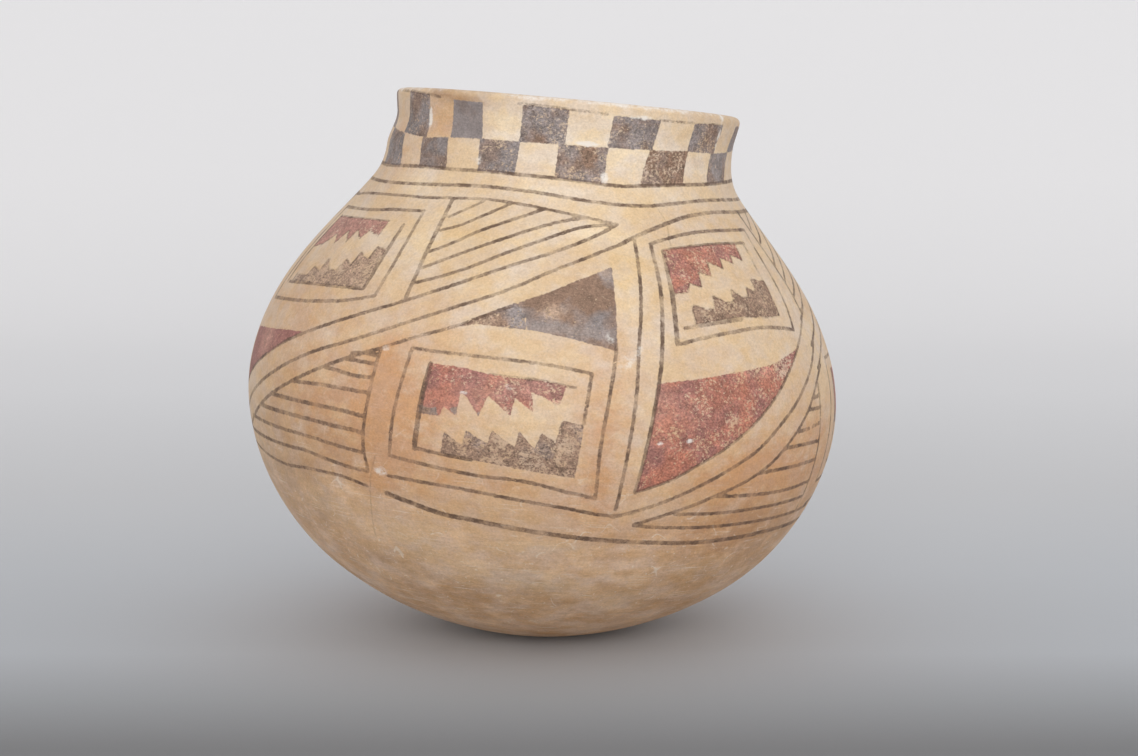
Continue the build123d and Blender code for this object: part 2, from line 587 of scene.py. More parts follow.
# The front design's own left half, which the painter squeezed and set higher than the others
LEFT_SIDE = Motif(
    strokes=(
        Stroke(((-79, 68.3), (-60, 69.5), (-50, 71), (-38.2, 72))),
        Stroke(((-38.2, 72), (-37.8, 55), (-38.5, 40)), 1.3, 0.7),
        Stroke(((-38.5, 40), (-45, 37), (-52, 35), (-60, 33.3), (-79, 30.5)), load=0.8),
        Stroke(((-79, 68.3), (-78.6, 50), (-79, 30.5))),
        Stroke(((-42, 66), (-42, 50), (-42.5, 42)), 1.6),
        Stroke(((-42.5, 41.7), (-50, 41), (-60, 40), (-74, 38)), 1.2),
        Stroke(((-75.5, 64.8), (-60, 66), (-48, 66.8)), 1.0, 0.6),
        Stroke(((-75.5, 64.8), (-75.5, 38)), 1.4, 0.8),
        Stroke(((-84, -7), (-76, 2), (-70, 8), (-60, 17.5), (-50, 25.5), (-40, 33), (-33, 38))),
        Stroke(((-84, -18), (-75, -8), (-67, 0), (-60, 6.8), (-50, 15.8), (-40, 23), (-33, 28.6))),
        Stroke(((-84, -25), (-75, -17.5), (-65, -7), (-60, -2), (-50, 7.5), (-40, 16.3), (-33, 21.6))),
        Stroke(((-32.5, 21.5), (-32.7, 15), (-33, 5), (-33.5, -5), (-33.7, -15), (-33, -24.5)), 1.4, 0.75),
        Stroke(((-39, 18.3), (-36, 19.2), (-32.7, 19.2)), 1.5),
        Stroke(((-40, 16), (-36, 16), (-32.7, 15.8))),
        Stroke(((-45, 11.5), (-42, 11.3), (-37, 10.5), (-33, 10.8))),
        Stroke(((-54, 3.7), (-48, 4.5), (-42, 5), (-33.2, 5))),
        Stroke(((-62, -3.7), (-50, -3.2), (-40, -3.2), (-33.7, -4)), 1.45),
        Stroke(((-68, -9.8), (-50, -9.2), (-40, -9.7), (-35, -10), (-33.7, -11)), 1.45),
        Stroke(((-75, -16.2), (-50, -16), (-42, -16.8), (-33.7, -18)), 1.3, 0.75),
        Stroke(((-84, -22.5), (-60, -22.5), (-50, -22), (-45, -23), (-38, -24.5), (-33, -25))),
    ),
    fills=(
        Fill(((-75.5, 64.8), (-60, 66), (-47.8, 66.8), (-48, 61), (-52.5, 62.5), (-54, 59), (-57.5, 62),
              (-58.5, 57), (-61.5, 61), (-63.5, 55.5), (-66, 59), (-70, 54), (-75.5, 52)),
             Pigment.RED, 0.36, 0.4, 0.8, 0.8),
        Fill(((-42.5, 42.2), (-50, 41.3), (-60, 40.3), (-72, 39), (-72, 41.5), (-65.5, 42), (-64.5, 45.8),
              (-61, 45), (-60.2, 50.2), (-57, 46), (-54.5, 46.5), (-53.2, 51), (-50.5, 49), (-49.8, 54.2),
              (-46, 52.2), (-45.6, 57), (-42.4, 56.6)), Pigment.DARK, 0.66, 0.5, 0.9, 0.9),
        Fill(((-55, 22.5), (-62, 21.5), (-70, 20), (-82, 18), (-82, -4), (-76, 2), (-70, 8), (-65, 12.5),
              (-60, 17.5)), Pigment.RED, 0.2, 0.0, 0.9),
    ),
)

# Two shoulder lines and the belly line, with their breaks at the uprights
FRAMING_LINES = Motif(
    strokes=(
        Stroke(((-80, 80), (-60, 80.5), (-40, 82), (-25, 83.2), (-10, 83), (0, 82), (10, 80.8), (20, 80),
                (30, 80.3), (40, 81.5), (55, 82.5), (75, 82), (110, 81.4), (150, 81.8), (190, 81),
                (230, 80.5), (280, 80))),
        Stroke(((-80, 73.5), (-70, 75), (-60, 75.8), (-50, 76.5), (-40, 77), (-30, 78), (-20, 78.7),
                (-10, 78), (-3, 77), (8, 75), (17, 73)), 1.2),
        Stroke(((17, 66), (20, 68), (25, 70.8), (30, 73), (35, 75), (40, 76.5), (45, 77.3), (52, 78),
                (60, 78), (75, 77.5), (110, 77), (150, 77.4), (190, 76.4), (230, 75), (280, 73.5)), 1.5),
        Stroke(((-80, -28), (-60, -30.5), (-50, -29.2), (-40, -29), (-33.5, -31)), 1.2, 0.8),
        Stroke(((-29.3, -32.5), (-25, -34.5), (-18, -37.7), (-12, -38.8), (0, -41.5), (12, -43.5),
                (30, -45), (40, -45), (60, -43.6), (80, -44), (120, -44.4), (160, -45), (200, -44),
                (230, -42), (255, -36), (280, -28)), 1.85, 0.88),
    ),
)


@dataclass(frozen=True)
class CheckBand:
    """Two rows of checks round the neck, leaning a little, with a line above and below.

    Attributes:
        upper_sides: degrees of the upper row's sides, at their top and foot, left and right in turn.
        lower_sides: the same for the lower row.
        upper_state: wear and warmth of each dark check in the upper row.
        lower_state: the same for the lower row.
        top: upper edge of the checks, which follows the slanting rim.
        middle: where the two rows meet.
        foot: lower edge of the checks.
        hidden_checks: dark checks out of sight, in each row.
        hidden_start: degrees at which they start.
        hidden_step: degrees from one to the next.
        hidden_width: degrees that each covers.
        hidden_lean: degrees that the last of them leans, and the first the other way.
    """

    upper_sides: Sequence[Spot] = (
        (-63, -64.8), (-49.5, -49.4), (-37.8, -38.2), (-26.2, -25.9), (-12.4, -13), (2.2, 1.5), (16, 15),
        (32, 30.5), (46, 45), (62.5, 60.5), (76, 72.5), (89, 87),
    )
    lower_sides: Sequence[Spot] = (
        (-78.4, -78), (-63.7, -61.2), (-51.3, -50.1), (-39, -37.8), (-26.6, -26.1), (-12.7, -13.7),
        (-0.5, -1), (15.3, 14.5), (29.5, 26.5), (45.5, 43.5), (58.5, 56), (73.5, 70),
    )
    upper_state: Sequence[Spot] = (
        (0.34, -0.2), (0.04, -0.7), (0.5, 0.0), (0.44, -0.1), (0.42, -0.1), (0.34, -0.2),
    )
    lower_state: Sequence[Spot] = (
        (0.34, -0.2), (0.28, -0.2), (0.38, -0.4), (0.5, 0.15), (0.56, 0.7), (0.34, -0.3),
    )
    top: Sequence[Spot] = (
        (-90, 116), (-60, 116.5), (-48, 116), (-35, 114.8), (-13, 115.5), (-5, 115.4), (12, 114), (34, 112.8),
        (62, 111.7), (90, 110.4), (150, 108.2), (200, 108), (240, 111), (270, 116),
    )
    middle: Sequence[Spot] = (
        (-90, 101.2), (-68, 101), (-59, 98.4), (-50, 99.2), (-43, 100.2), (-26, 101.2), (0, 101.4),
        (45, 101.2), (60, 100.3), (90, 101), (250, 101), (270, 101.2),
    )
    foot: Sequence[Spot] = (
        (-90, 86.4), (-70, 86.5), (-50, 88), (-20, 89), (0, 88.5), (20, 87), (35, 88), (75, 89), (160, 88.6),
        (270, 86.4),
    )
    hidden_checks: int = 7
    hidden_start: float = 102.3
    hidden_step: float = 27.35
    hidden_width: float = 13.65
    hidden_lean: float = 2.0

    @staticmethod
    def _line(turns: range, edge: Sequence[Spot], width: float, load: float, lift: float = 0.0) -> Stroke:
        """Draw a line along an edge of the rows, or a little above it."""
        return Stroke([(turn, round_the_jar(turn, edge) + lift) for turn in turns], width, load)

    def strokes(self) -> list[Stroke]:
        """The line under the checks, and the broken line along their top."""
        return [
            self._line(range(-90, 271, 10), self.foot, 1.3, 0.85),
            self._line(range(-72, -43, 4), self.top, 1.0, 0.6),
            self._line(range(-14, 18, 4), self.top, 1.0, 0.5, 0.2),
            self._line(range(30, 64, 4), self.top, 0.9, 0.35),
            self._line(range(100, 260, 10), self.top, 0.9, 0.45),
        ]

    def fills(self) -> list[Fill]:
        """Dark checks of both rows, those out of sight at an even step."""
        upper = list(zip(self.upper_sides[::2], self.upper_sides[1::2], strict=True))
        lower = list(zip(self.lower_sides[::2], self.lower_sides[1::2], strict=True))
        for number in range(self.hidden_checks):
            left = self.hidden_start + self.hidden_step * number
            right, before = left + self.hidden_width, left - self.hidden_width
            slant = self.hidden_lean * (2 * number / (self.hidden_checks - 1) - 1)
            upper.append(((left, left + slant), (right, right + slant)))
            lower.append(((before, before + slant), (left, left + slant)))
        rows = (
            (upper, self.upper_state, self.top, self.middle),
            (lower, self.lower_state, self.middle, self.foot),
        )
        checks = []
        for sides, states, high, low in rows:
            for (left, right), (wear, warmth) in zip(sides, cycle(states)):
                corners = ((left[0], high), (right[0], high), (right[1], low), (left[1], low))
                spots = [(turn, round_the_jar(turn, edge)) for turn, edge in corners]
                checks.append(Fill(spots, Pigment.DARK, wear, 0.0, warmth))
        return checks

    def motif(self) -> Motif:
        """The whole band."""
        return Motif(self.strokes(), self.fills())


class Ageing:
    """Marks of the fire, of use and of old repairs, with painted shade on the lip, the left side and the
    neck's left checks.
    """

    # Patches in sight: degrees round, height, reach round and up, and strength in the middle
    seen: dict[Tint, Sequence[tuple[float, ...]]] = {
        Tint.BLUSH: (  # warm from the fire
            (-40, -6, 26, 28, 1.05), (-24, 6, 9, 30, 0.5), (12, 0, 6, 28, 1.0), (-30.5, 0, 4, 24, 0.9),
            (40, -20, 12, 12, 0.7), (-5, -24, 30, 9, 0.6), (58, -18, 26, 26, 1.1), (-62, 30, 20, 22, 0.45),
            (30, -40, 40, 8, 0.5), (-42, 108, 10, 9, 0.7), (-62, 96, 14, 20, 0.5), (42, -47, 14, 9, 0.6),
            (8, -32, 7, 4, 0.4),
        ),
        Tint.GOLD: (  # ochre
            (-24, 68, 16, 14, 0.8), (18, 62, 8, 20, 0.7), (24, 82, 26, 6, 0.35), (9, 108, 6, 5, 0.5),
            (-10, 26, 14, 9, 0.15), (-58, 8, 12, 16, 0.5), (-8, -7, 10, 12, 0.4), (47, 33, 8, 22, 0.4),
            (17, 52, 4, 6, 0.6), (-9, 47, 6, 3.4, 0.6), (33, -24, 9, 7, 0.5), (39, -53, 10, 9, 0.35),
        ),
        Tint.SMOKE: (  # soot and grime, with painted shade on the jar's left side
            (-34, 115.4, 10, 2.2, 1.0), (-45, 117, 4, 1.6, 0.8), (-4, 41, 5, 6, 0.35),
            (-58, -30, 16, 18, 0.5), (0, -70, 30, 12, 0.45), (46, -62, 22, 18, 0.5),
            # (-54, 0) and (-70, 40) are painted shade that darkens the jar's left side
            (62, -42, 14, 12, 0.45), (-54, 0, 16, 24, 0.25), (-70, 40, 16, 40, 0.2),
            (-53.7, -49, 9, 8, 0.4), (-38, -63, 12, 7, 0.5), (44, -38, 10, 9, 0.3), (-40, -15, 7, 7, 0.25),
            (-31, -61, 8, 7, 0.18),
        ),
        Tint.CHALK: (  # lime and flaked slip
            (12.2, 33, 2.2, 4, 0.78), (15, 24, 2.6, 6, 0.8), (18.5, 29, 2.2, 5, 0.62),
            (-30, -24, 2.6, 3, 0.95), (8.6, 102.3, 5, 1.5, 1.4), (14.5, 90, 2, 2.6, 1.2),
            (25, 113.4, 5, 1.2, 1.2), (28, -4, 1.2, 1.4, 1.1), (22, -5, 1.1, 1.5, 1.0),
            (-49, 107, 1.6, 6, 1.2), (-14.4, 9.6, 1.2, 1.4, 1.0), (4, 85, 12, 3, 0.62),
            (-6, 13, 3, 2.4, 0.75), (61, 107, 1.4, 8, 1.0), (-26, 93, 2.4, 3, 1.0),
            (-31.6, 22, 2.4, 2.4, 0.8), (-38, 30, 1.5, 5, 0.6), (-52, 55, 1.6, 2.6, 0.7),
            (-12, 118, 9, 2.2, 0.3), (-5.6, 41, 0.8, 1.8, 0.7),
        ),
        Tint.PALE: (  # paler slip
            (14, 102, 26, 16, 1.3), (-18, 108, 9, 8, 0.6), (55, 98, 18, 10, 0.5), (-26, -52, 16, 14, 0.35),
            (12, -32, 12, 6, 0.6), (-44, 80, 7, 5, 0.5), (-6, 84, 12, 4, 0.6), (-4, 70, 7, 9, 0.6),
            (-9, 46, 4, 9, 0.45), (36, 84, 9, 3, 0.4), (-69, 63, 10, 8, 0.7), (-48, 60, 6, 6, 0.5),
            (-33, 60, 5, 8, 0.6), (11, 70, 9, 4.5, 1.0), (-24.6, -5, 3.4, 10, 0.7), (-40, 6, 6, 6, 0.6),
            (16.5, 44, 3.5, 6, 0.6), (-2, -62, 13, 5, 0.5), (2, -48, 10, 4, 0.45), (-58, 20, 9, 8, 0.4),
            (-14, -28, 9, 3.4, 0.4), (3, -67, 12, 4, 0.35), (-26, 76, 9, 5, 0.5), (15, 78, 8, 4, 0.5),
            (20, 66, 5, 5, 0.5), (-34, 6, 3, 7, 0.5), (-23.5, 0, 2.5, 8, 0.4), (-31, -24, 5, 4, 0.6),
            (-17, 16, 5, 3, 0.5), (-53, -18, 7, 6, 0.5), (-50, 83, 14, 6, 0.5), (-20, 96, 20, 8, 0.4),
            (24, -71, 9, 6, 0.4), (-49, -42, 7, 6, 0.3),
        ),
        Tint.WORN: (  # rubbed paint
            (-11.4, 36.4, 4, 3, 0.2), (0.9, 41, 3, 3, 0.25), (51, 23, 7, 5, 0.3), (38, 3, 4, 5, 0.15),
        ),
        Tint.PALED_AND_SHADED: (  # paled paint, or denser where it is less than 0
            # paled paint; less than 0 darkens it, as denser paint, and as painted shade on the neck's left
            # checks
            (-11.4, 36.4, 3, 2, 0.5), (0.9, 41, 2.2, 2.2, 0.9), (3, 34.4, 6, 1.8, 0.25),
            (10.7, 39.4, 2.2, 3, -0.14), (12.4, 56, 1.6, 2.4, 0.5), (-70, 15, 4, 8, 0.5),
            (-3, 13, 8, 4, 0.3), (21, 9, 4, 9, 0.3), (36, 8, 6, 8, -0.08), (53, 47, 4, 5, 0.3),
            # the entries below 0 at heights 96 to 113 are painted shade that darkens the neck's left checks
            (-62, 100, 9, 11, -0.26), (-43, 96, 5, 8, -0.24), (-19, 96, 6, 7, -0.1),
            (-33, 113, 6, 3, -0.14), (-27, 105, 2.4, 5, -0.14), (-18, 12, 4, 5, -0.08), (45, 21, 4, 3, 0.3),
            (34, 15, 5, 3, -0.16), (16, -8, 5, 7, 0.16), (28, 6, 5, 6, 0.14), (33, 43, 3, 3, 0.25),
        ),
        Tint.BROWNED: (  # browner paint, or greyer where it is less than 0
            (-11.6, 36.6, 4, 2.6, 0.8), (-5.8, 39, 2, 4, -0.9), (7.5, 47, 5, 5, 0.8),
            (3, 34.8, 7, 2.2, -1.2), (10.7, 39.4, 2.2, 3, -1.0), (12.4, 55, 1.8, 3, -0.8),
            (47, 46, 6, 8, 0.3),
        ),
    }
    cracks: Sequence[Stroke] = (
        Stroke(((-31, -18), (-32.4, -26), (-33, -32), (-34, -42), (-35, -52)), 0.3),
        Stroke(((31, 66), (31.8, 71), (32.2, 75), (31, 79)), 0.3),
    )
    lip_step: int = 20                  # degrees from one worn place on the lip to the next
    lip_level: float = 115.0
    lip_slant: float = 4.4              # how far the lip rises on its high side
    lip_high_side: float = -18.0
    lip_chalk: Spot = (0.66, 0.2)       # strength of the chalk there, and how far it varies
    lip_chalk_reach: Spot = (14, 2.6)
    # painted shade on the lip's top, laid as dark soot-coloured patches
    lip_shade: float = 0.1
    lip_shade_reach: Spot = (14, 2.4)
    hidden_kinds: Sequence[Tint] = (Tint.BLUSH, Tint.GOLD, Tint.SMOKE, Tint.BLUSH)
    hidden_count: int = 16
    hidden_start: float = 96.0
    hidden_step: float = 11.0
    hidden_strength: float = 0.6
    hidden_height: float = 70.0         # how far above and below the pattern's level they lie
    hidden_sway: Spot = (2.4, 0.6)      # step from one height to the next, and the first, as angles
    hidden_soot: Spot = (-62.0, 8.0)    # height of the soot, and how far it varies
    hidden_reach: Spot = (13, 16)
    hidden_growth: Spot = (3, 6)        # steps by which the reach grows

    def _on_lip(self) -> list[Patch]:
        """Slip rubbed to chalk along the lip, with a little painted shade on its lit top."""
        worn = []
        for turn in range(-180, 180, self.lip_step):
            away = math.radians(turn - self.lip_high_side)
            crest = (turn, self.lip_level + self.lip_slant * math.cos(away))
            chalk = self.lip_chalk[0] + self.lip_chalk[1] * math.sin(turn)
            # the chalk is wear on the lip; the dark patch is painted shade on its top
            worn += [Patch(Tint.CHALK, crest, self.lip_chalk_reach, chalk),
                     Patch(Tint.SMOKE, crest, self.lip_shade_reach, self.lip_shade)]
        return worn

    def _out_of_sight(self) -> list[Patch]:
        """A loose ring of the same kinds on the side that isn't seen, with the soot low down."""
        hidden = []
        for number, kind in zip(range(self.hidden_count), cycle(self.hidden_kinds)):
            height = self.hidden_height * math.sin(self.hidden_sway[0] * number + self.hidden_sway[1])
            if kind is Tint.SMOKE:
                height = self.hidden_soot[0] + self.hidden_soot[1] * math.sin(number)
            spot = (self.hidden_start + self.hidden_step * number, height)
            grown = (number % 5 * self.hidden_growth[0], number % 3 * self.hidden_growth[1])
            reach = (self.hidden_reach[0] + grown[0], self.hidden_reach[1] + grown[1])
            hidden.append(Patch(kind, spot, reach, self.hidden_strength))
        return hidden

    def patches(self) -> list[Patch]:
        """Soft patches all over the jar."""
        seen = [Patch(tint, row[:2], row[2:4], row[4]) for tint, rows in self.seen.items() for row in rows]
        return seen + self._on_lip() + self._out_of_sight()


class Design:
    """All that the painter drew, with the hidden side repeated from what the front shows."""

    repeat: float = 100.7       # degrees from one drawing of the design to the next
    half_joint: float = 15.0    # where the front design's right half meets the next design
    hidden_squeeze: float = 0.787

    def __init__(self) -> None:
        """Set each half in its places, and add what runs round the jar."""
        after_front = self.half_joint + self.repeat
        hidden = [after_front, after_front + self.repeat * self.hidden_squeeze]
        hatch_start = self.half_joint - self.repeat
        panel_settings = [Setting(self.half_joint, self.half_joint)]
        hatch_settings = [Setting(hatch_start, hatch_start), Setting(hatch_start, self.half_joint)]
        for start, settings in ((self.half_joint, panel_settings), (hatch_start, hatch_settings)):
            settings += [Setting(start, place, self.hidden_squeeze) for place in hidden]
        self.motifs = [setting.repeat(PANEL_HALF) for setting in panel_settings]
        self.motifs += [setting.repeat(HATCH_HALF) for setting in hatch_settings]
        self.motifs += [LEFT_SIDE, CheckBand().motif(), FRAMING_LINES]

    def paint(self, grid: PaintedGrid) -> None:
        """Paint one ring's grid.

        Args:
            grid: the grid.
        """
        for motif in self.motifs:
            for stroke in motif.strokes:
                grid.draw(stroke)
            for shape in motif.fills:
                grid.fill(shape)
        ageing = Ageing()
        for patch in ageing.patches():
            grid.tint(patch)
        for crack in ageing.cracks:
            grid.draw(crack, "crack_edge")


class Value:
    """What a socket gives, so that sums and products can be written as such."""

    def __init__(self, recipe: "Recipe", socket: Socket) -> None:
        """Keep the socket, and the recipe that wires it on."""
        self.recipe = recipe
        self.socket = socket

    def __add__(self, other: "Number") -> "Value":
        """Sum with another value."""
        return self.recipe.math("ADD", self, other)

    def __sub__(self, other: "Number") -> "Value":
        """What is left when another value is taken away."""
        return self.recipe.math("SUBTRACT", self, other)

    def __rsub__(self, other: float) -> "Value":
        """What is left of a number when this value is taken away."""
        return self.recipe.math("SUBTRACT", other, self)

    def __mul__(self, other: "Number") -> "Value":
        """Product with another value."""
        return self.recipe.math("MULTIPLY", self, other)

    def rise(self, start: float, gain: float) -> "Value":
        """A number that starts at one level and grows with this value."""
        return self * gain + start


Number = Value | float
Tone = Value | Colour
Inputs = dict[str | int, Value | float | tuple[float, ...]]


@dataclass(frozen=True)
class Cloud:
    """A cloudy marking in the clay.

    Attributes:
        size: width of one cloud.
        detail: layers of finer clouds.
        flatten: how many times longer than high the clouds are.
        crisp: strength of each finer layer against the one before.
        shift: how far its pattern is moved, so that it doesn't follow another.
        band: cloudiness at which the marking starts and is full; without it the cloudiness stays as it is.
    """

    size: float
    detail: float = 2.0
    flatten: float = 1.0
    crisp: float = 0.5
    shift: float = 0.0
    band: Spot | None = None


class Recipe:
    """Short names for wiring one node tree."""

    def __init__(self, tree: bpy.types.NodeTree) -> None:
        """Keep the tree that nodes are added to."""
        self.tree = tree

    @classmethod
    def for_material(cls, name: str) -> tuple[bpy.types.Material, "Recipe"]:
        """Open a bare material, with the recipe that fills it.

        Args:
            name: name of the material.

        Returns:
            The material and its recipe.
        """
        made = bpy.data.materials.new(name)
        made.use_nodes = True
        made.node_tree.nodes.clear()
        return made, cls(made.node_tree)

    def node(self, kind: str, inputs: Inputs | None = None, **settings: object) -> bpy.types.Node:
        """Add a node.

        Args:
            kind: which kind of node.
            inputs: what each input is linked to or set to.
            settings: properties to set on it.

        Returns:
            The node.
        """
        made = self.tree.nodes.new(kind)
        for name, value in settings.items():
            setattr(made, name, value)
        for key, value in (inputs or {}).items():
            if isinstance(value, Value):
                self.tree.links.new(value.socket, made.inputs[key])
            else:
                made.inputs[key].default_value = value
        return made

    def value(self, kind: str, inputs: Inputs | None = None, output: str | int = 0,
              **settings: object) -> Value:
        """Add a node, as above, and take one of its outputs."""
        return Value(self, self.node(kind, inputs, **settings).outputs[output])

    def math(self, operation: str, first: Number, second: Number = 0.0) -> Value:
        """Combine two values."""
        return self.value("ShaderNodeMath", {0: first, 1: second}, operation=operation)

    def vector(self, operation: str, first: Value, second: Triple) -> Value:
        """Combine a place or a colour with three numbers."""
        return self.value("ShaderNodeVectorMath", {0: first, 1: second}, operation=operation)

    def ease(self, value: Value, low: Number, high: Number) -> Value:
        """Rise softly from 0 to 1 while a value goes from low to high."""
        inputs = {"Value": value, "From Min": low, "From Max": high}
        return self.value("ShaderNodeMapRange", inputs, "Result", interpolation_type="SMOOTHSTEP")

    def blend(self, share: Number, under: Tone, over: Tone) -> Value:
        """Lay a share of one colour over another."""
        return self.value("ShaderNodeMix", {0: share, 6: under, 7: over}, 2, data_type="RGBA")

    def cloud(self, place: Value, cloud: Cloud) -> Value:
        """Spread a cloudy marking through the clay.

        Args:
            place: places in the jar's own frame.
            cloud: the marking.

        Returns:
            How strong it is, from 0 to 1.
        """
        if cloud.shift:
            place = self.vector("ADD", place, (cloud.shift,) * 3)
        scaled = self.vector("MULTIPLY", place, (1 / cloud.size, 1 / cloud.size, cloud.flatten / cloud.size))
        inputs = {"Vector": scaled, "Scale": 1.0, "Detail": cloud.detail, "Roughness": cloud.crisp}
        made = self.value("ShaderNodeTexNoise", inputs)
        return self.ease(made, *cloud.band) if cloud.band else made

    def stain(self, share: Value, colour: Value, wash: Triple) -> Value:
        """Wash a colour with a thin stain, given by what it leaves of red, green and blue."""
        return self.blend(share, colour, self.vector("MULTIPLY", colour, wash))

    def shade(self, colour: Value, factor: Value) -> Value:
        """Make a colour lighter or darker, where a factor of 1 leaves it as it is."""
        return self.value("ShaderNodeVectorMath", {0: colour, "Scale": factor}, operation="SCALE")

    def attribute(self, name: str, output: str = "Fac") -> Value:
        """Read what a vertex keeps."""
        return self.value("ShaderNodeAttribute", None, output, attribute_name=name)

    def along(self, place: Value, axis: int) -> Value:
        """One of the three parts of a place."""
        return self.value("ShaderNodeSeparateXYZ", {0: place}, axis)

    def group(self, tree: bpy.types.NodeTree, **inputs: Number) -> dict[str, Value]:
        """Place a shared effect, and return what it puts out by name."""
        made = self.node("ShaderNodeGroup", inputs, node_tree=tree)
        return {socket.name: Value(self, socket) for socket in made.outputs}

    def surface(self, colour: Tone, roughness: Number, specular: float, relief: Value | None = None,
                strength: float = 0.0, depth: float = 0.0) -> None:
        """Finish a material.

        Args:
            colour: colour of the surface.
            roughness: how matt it is.
            specular: how much it mirrors.
            relief: heights of its fine relief, if it has one.
            strength: how strongly the relief shows.
            depth: how deep it is.
        """
        inputs = {"Base Color": colour, "Roughness": roughness, "Specular IOR Level": specular}
        if relief is not None:
            bump = {"Strength": strength, "Distance": depth * MM, "Height": relief}
            inputs["Normal"] = self.value("ShaderNodeBump", bump, "Normal")
        made = self.value("ShaderNodeBsdfPrincipled", inputs, "BSDF")
        self.node("ShaderNodeOutputMaterial", {"Surface": made})


class SharedEffects:
    """Node groups that several materials place with their own values."""

    # Marks of the polishing stone, and of hard use
    streak = Cloud(46.0, 4.0, 10.0, band=(0.3, 0.7))
    stone_line = Cloud(18.0, 2.0, 38.0, 0.6, band=(0.59, 0.69))
    line_spread = Cloud(18.0, 2.0, 1.5, band=(0.42, 0.6))
    hair = Cloud(14.0, 1.0, shift=53.0)
    hair_edge: Spot = (0.011, 0.003)
    hair_spread = Cloud(8.0, 2.0, 1.0, 0.6, 71.0, (0.55, 0.61))
    chip = Cloud(1.7, 1.0, 1.0, 0.6, band=(0.68, 0.76))
    chip_share: float = 0.9
    brushed = Cloud(5.0, 3.0, 4.0, 0.8)

    # Unevenness of the clay, by what the effect puts out
    clay_clouds = {
        "Broad": Cloud(70.0, 2.0, band=(0.3, 0.7)),
        "Patch": Cloud(17.0, 4.0, 1.6, 0.6, band=(0.3, 0.7)),
        "Stain": Cloud(7.0, 4.0, 1.3, 0.65, band=(0.32, 0.68)),
        "Ochre": Cloud(9.0, 4.0, 1.4, 0.58, 37.0, (0.36, 0.64)),
        "Film": Cloud(22.0, 5.0, 1.2, 0.66, 23.0, (0.5, 0.62)),
        "Fleck": Cloud(4.0, 4.0, 1.1, 0.72, 31.0, (0.44, 0.6)),
        "Grain": Cloud(0.9, 1.0, 1.2, 0.8),
    }

    # Wear of the paint
    tooth = Cloud(1.6, 4.0)
    edge_blur: float = 0.22
    hue = Cloud(11.0, 3.0, 1.0, 0.6, band=(0.34, 0.66))
    tone = Cloud(5.0, 4.0, 1.2, 0.8)
    worn = Cloud(9.0, 3.0, 1.0, 0.7, 19.0, (0.4, 0.66))
    worn_rise: Spot = (0.55, 0.85)      # wear between the worn places, and what they add
    rubbed = Cloud(1.3, 3.0, 1.3, 0.8)
    rubbed_from: Spot = (0.66, -0.32)   # where specks start in sound paint, and how far wear moves that
    rubbed_blur: float = 0.12
    rubbed_depth: float = 0.88

    def __init__(self) -> None:
        """Build each group once."""
        self.burnish = self._burnish()
        self.mottle = self._mottle()
        self.worn_edge = self._worn_edge()

    @staticmethod
    def _open(name: str, *numbers: str) -> tuple[Recipe, list[Value]]:
        """Open a group that is given places, and then numbers.

        Args:
            name: name of the group.
            numbers: names of the numbers.

        Returns:
            The recipe, and what the group is given.
        """
        tree = bpy.data.node_groups.new(name, "ShaderNodeTree")
        tree.interface.new_socket("Place", in_out="INPUT", socket_type="NodeSocketVector")
        for number in numbers:
            tree.interface.new_socket(number, in_out="INPUT", socket_type="NodeSocketFloat")
        recipe = Recipe(tree)
        source = recipe.node("NodeGroupInput")
        return recipe, [Value(recipe, source.outputs[given]) for given in ("Place", *numbers)]

    @staticmethod
    def _close(recipe: Recipe, **results: Value) -> bpy.types.NodeTree:
        """Put out what a group has worked out, by name, and return the group."""
        for name in results:
            recipe.tree.interface.new_socket(name, in_out="OUTPUT", socket_type="NodeSocketFloat")
        recipe.node("NodeGroupOutput", results)
        return recipe.tree

    def _burnish(self) -> bpy.types.NodeTree:
        """Marks of the polishing stone: soft streaks, fine pale scratches and chips, a grain about 0.5."""
        recipe, (place,) = self._open("burnish_marks")
        lines = recipe.cloud(place, self.stone_line) * recipe.cloud(place, self.line_spread)
        wander = recipe.math("ABSOLUTE", recipe.cloud(place, self.hair) - 0.5)
        hairs = recipe.ease(wander, *self.hair_edge) * recipe.cloud(place, self.hair_spread)
        chips = recipe.cloud(place, self.chip) * self.chip_share
        scratch = recipe.math("MAXIMUM", recipe.math("MAXIMUM", lines, hairs), chips)
        streak, brushed = recipe.cloud(place, self.streak), recipe.cloud(place, self.brushed)
        return self._close(recipe, Streak=streak, Scratch=scratch, Brushed=brushed)

    def _mottle(self) -> bpy.types.NodeTree:
        """Uneven clay: broad clouds, patches, stains, ochre, pale film, flecks, a fine grain about 0.5."""
        recipe, (place,) = self._open("clay_mottle")
        clouds = {name: recipe.cloud(place, cloud) for name, cloud in self.clay_clouds.items()}
        return self._close(recipe, **clouds)

    def _worn_edge(self) -> bpy.types.NodeTree:
        """Paint in a ragged edge: its area, its cover less rubbed specks, tone about 0.5, clouds of hue."""
        recipe, (place, edge, ragged, wear) = self._open("worn_paint", "Edge", "Ragged", "Wear")
        frayed = edge + (recipe.cloud(place, self.tooth) - 0.5) * ragged
        area = recipe.ease(frayed, self.edge_blur, -self.edge_blur)
        spread = wear * recipe.cloud(place, self.worn).rise(*self.worn_rise)
        bare_from = spread.rise(*self.rubbed_from)
        bare = recipe.ease(recipe.cloud(place, self.rubbed), bare_from, bare_from + self.rubbed_blur)
        cover = area * bare.rise(1.0, -self.rubbed_depth)
        tone, hue = recipe.cloud(place, self.tone), recipe.cloud(place, self.hue)
        return self._close(recipe, Area=area, Cover=cover, Tone=tone, Cloud=hue)


@dataclass(frozen=True)
class Coat:
    """A mineral paint, as it fills a shape.

    Attributes:
        pigment: which paint it is.
        ragged: how far its edge frays.
        cool: the cooler of its two hues.
        warm: the warmer one.
        faded: its colour where it has paled.
        stain: how much of it stays in the slip where it has rubbed off.
    """

    pigment: Pigment
    ragged: float
    cool: Colour
    warm: Colour
    faded: Colour
    stain: float


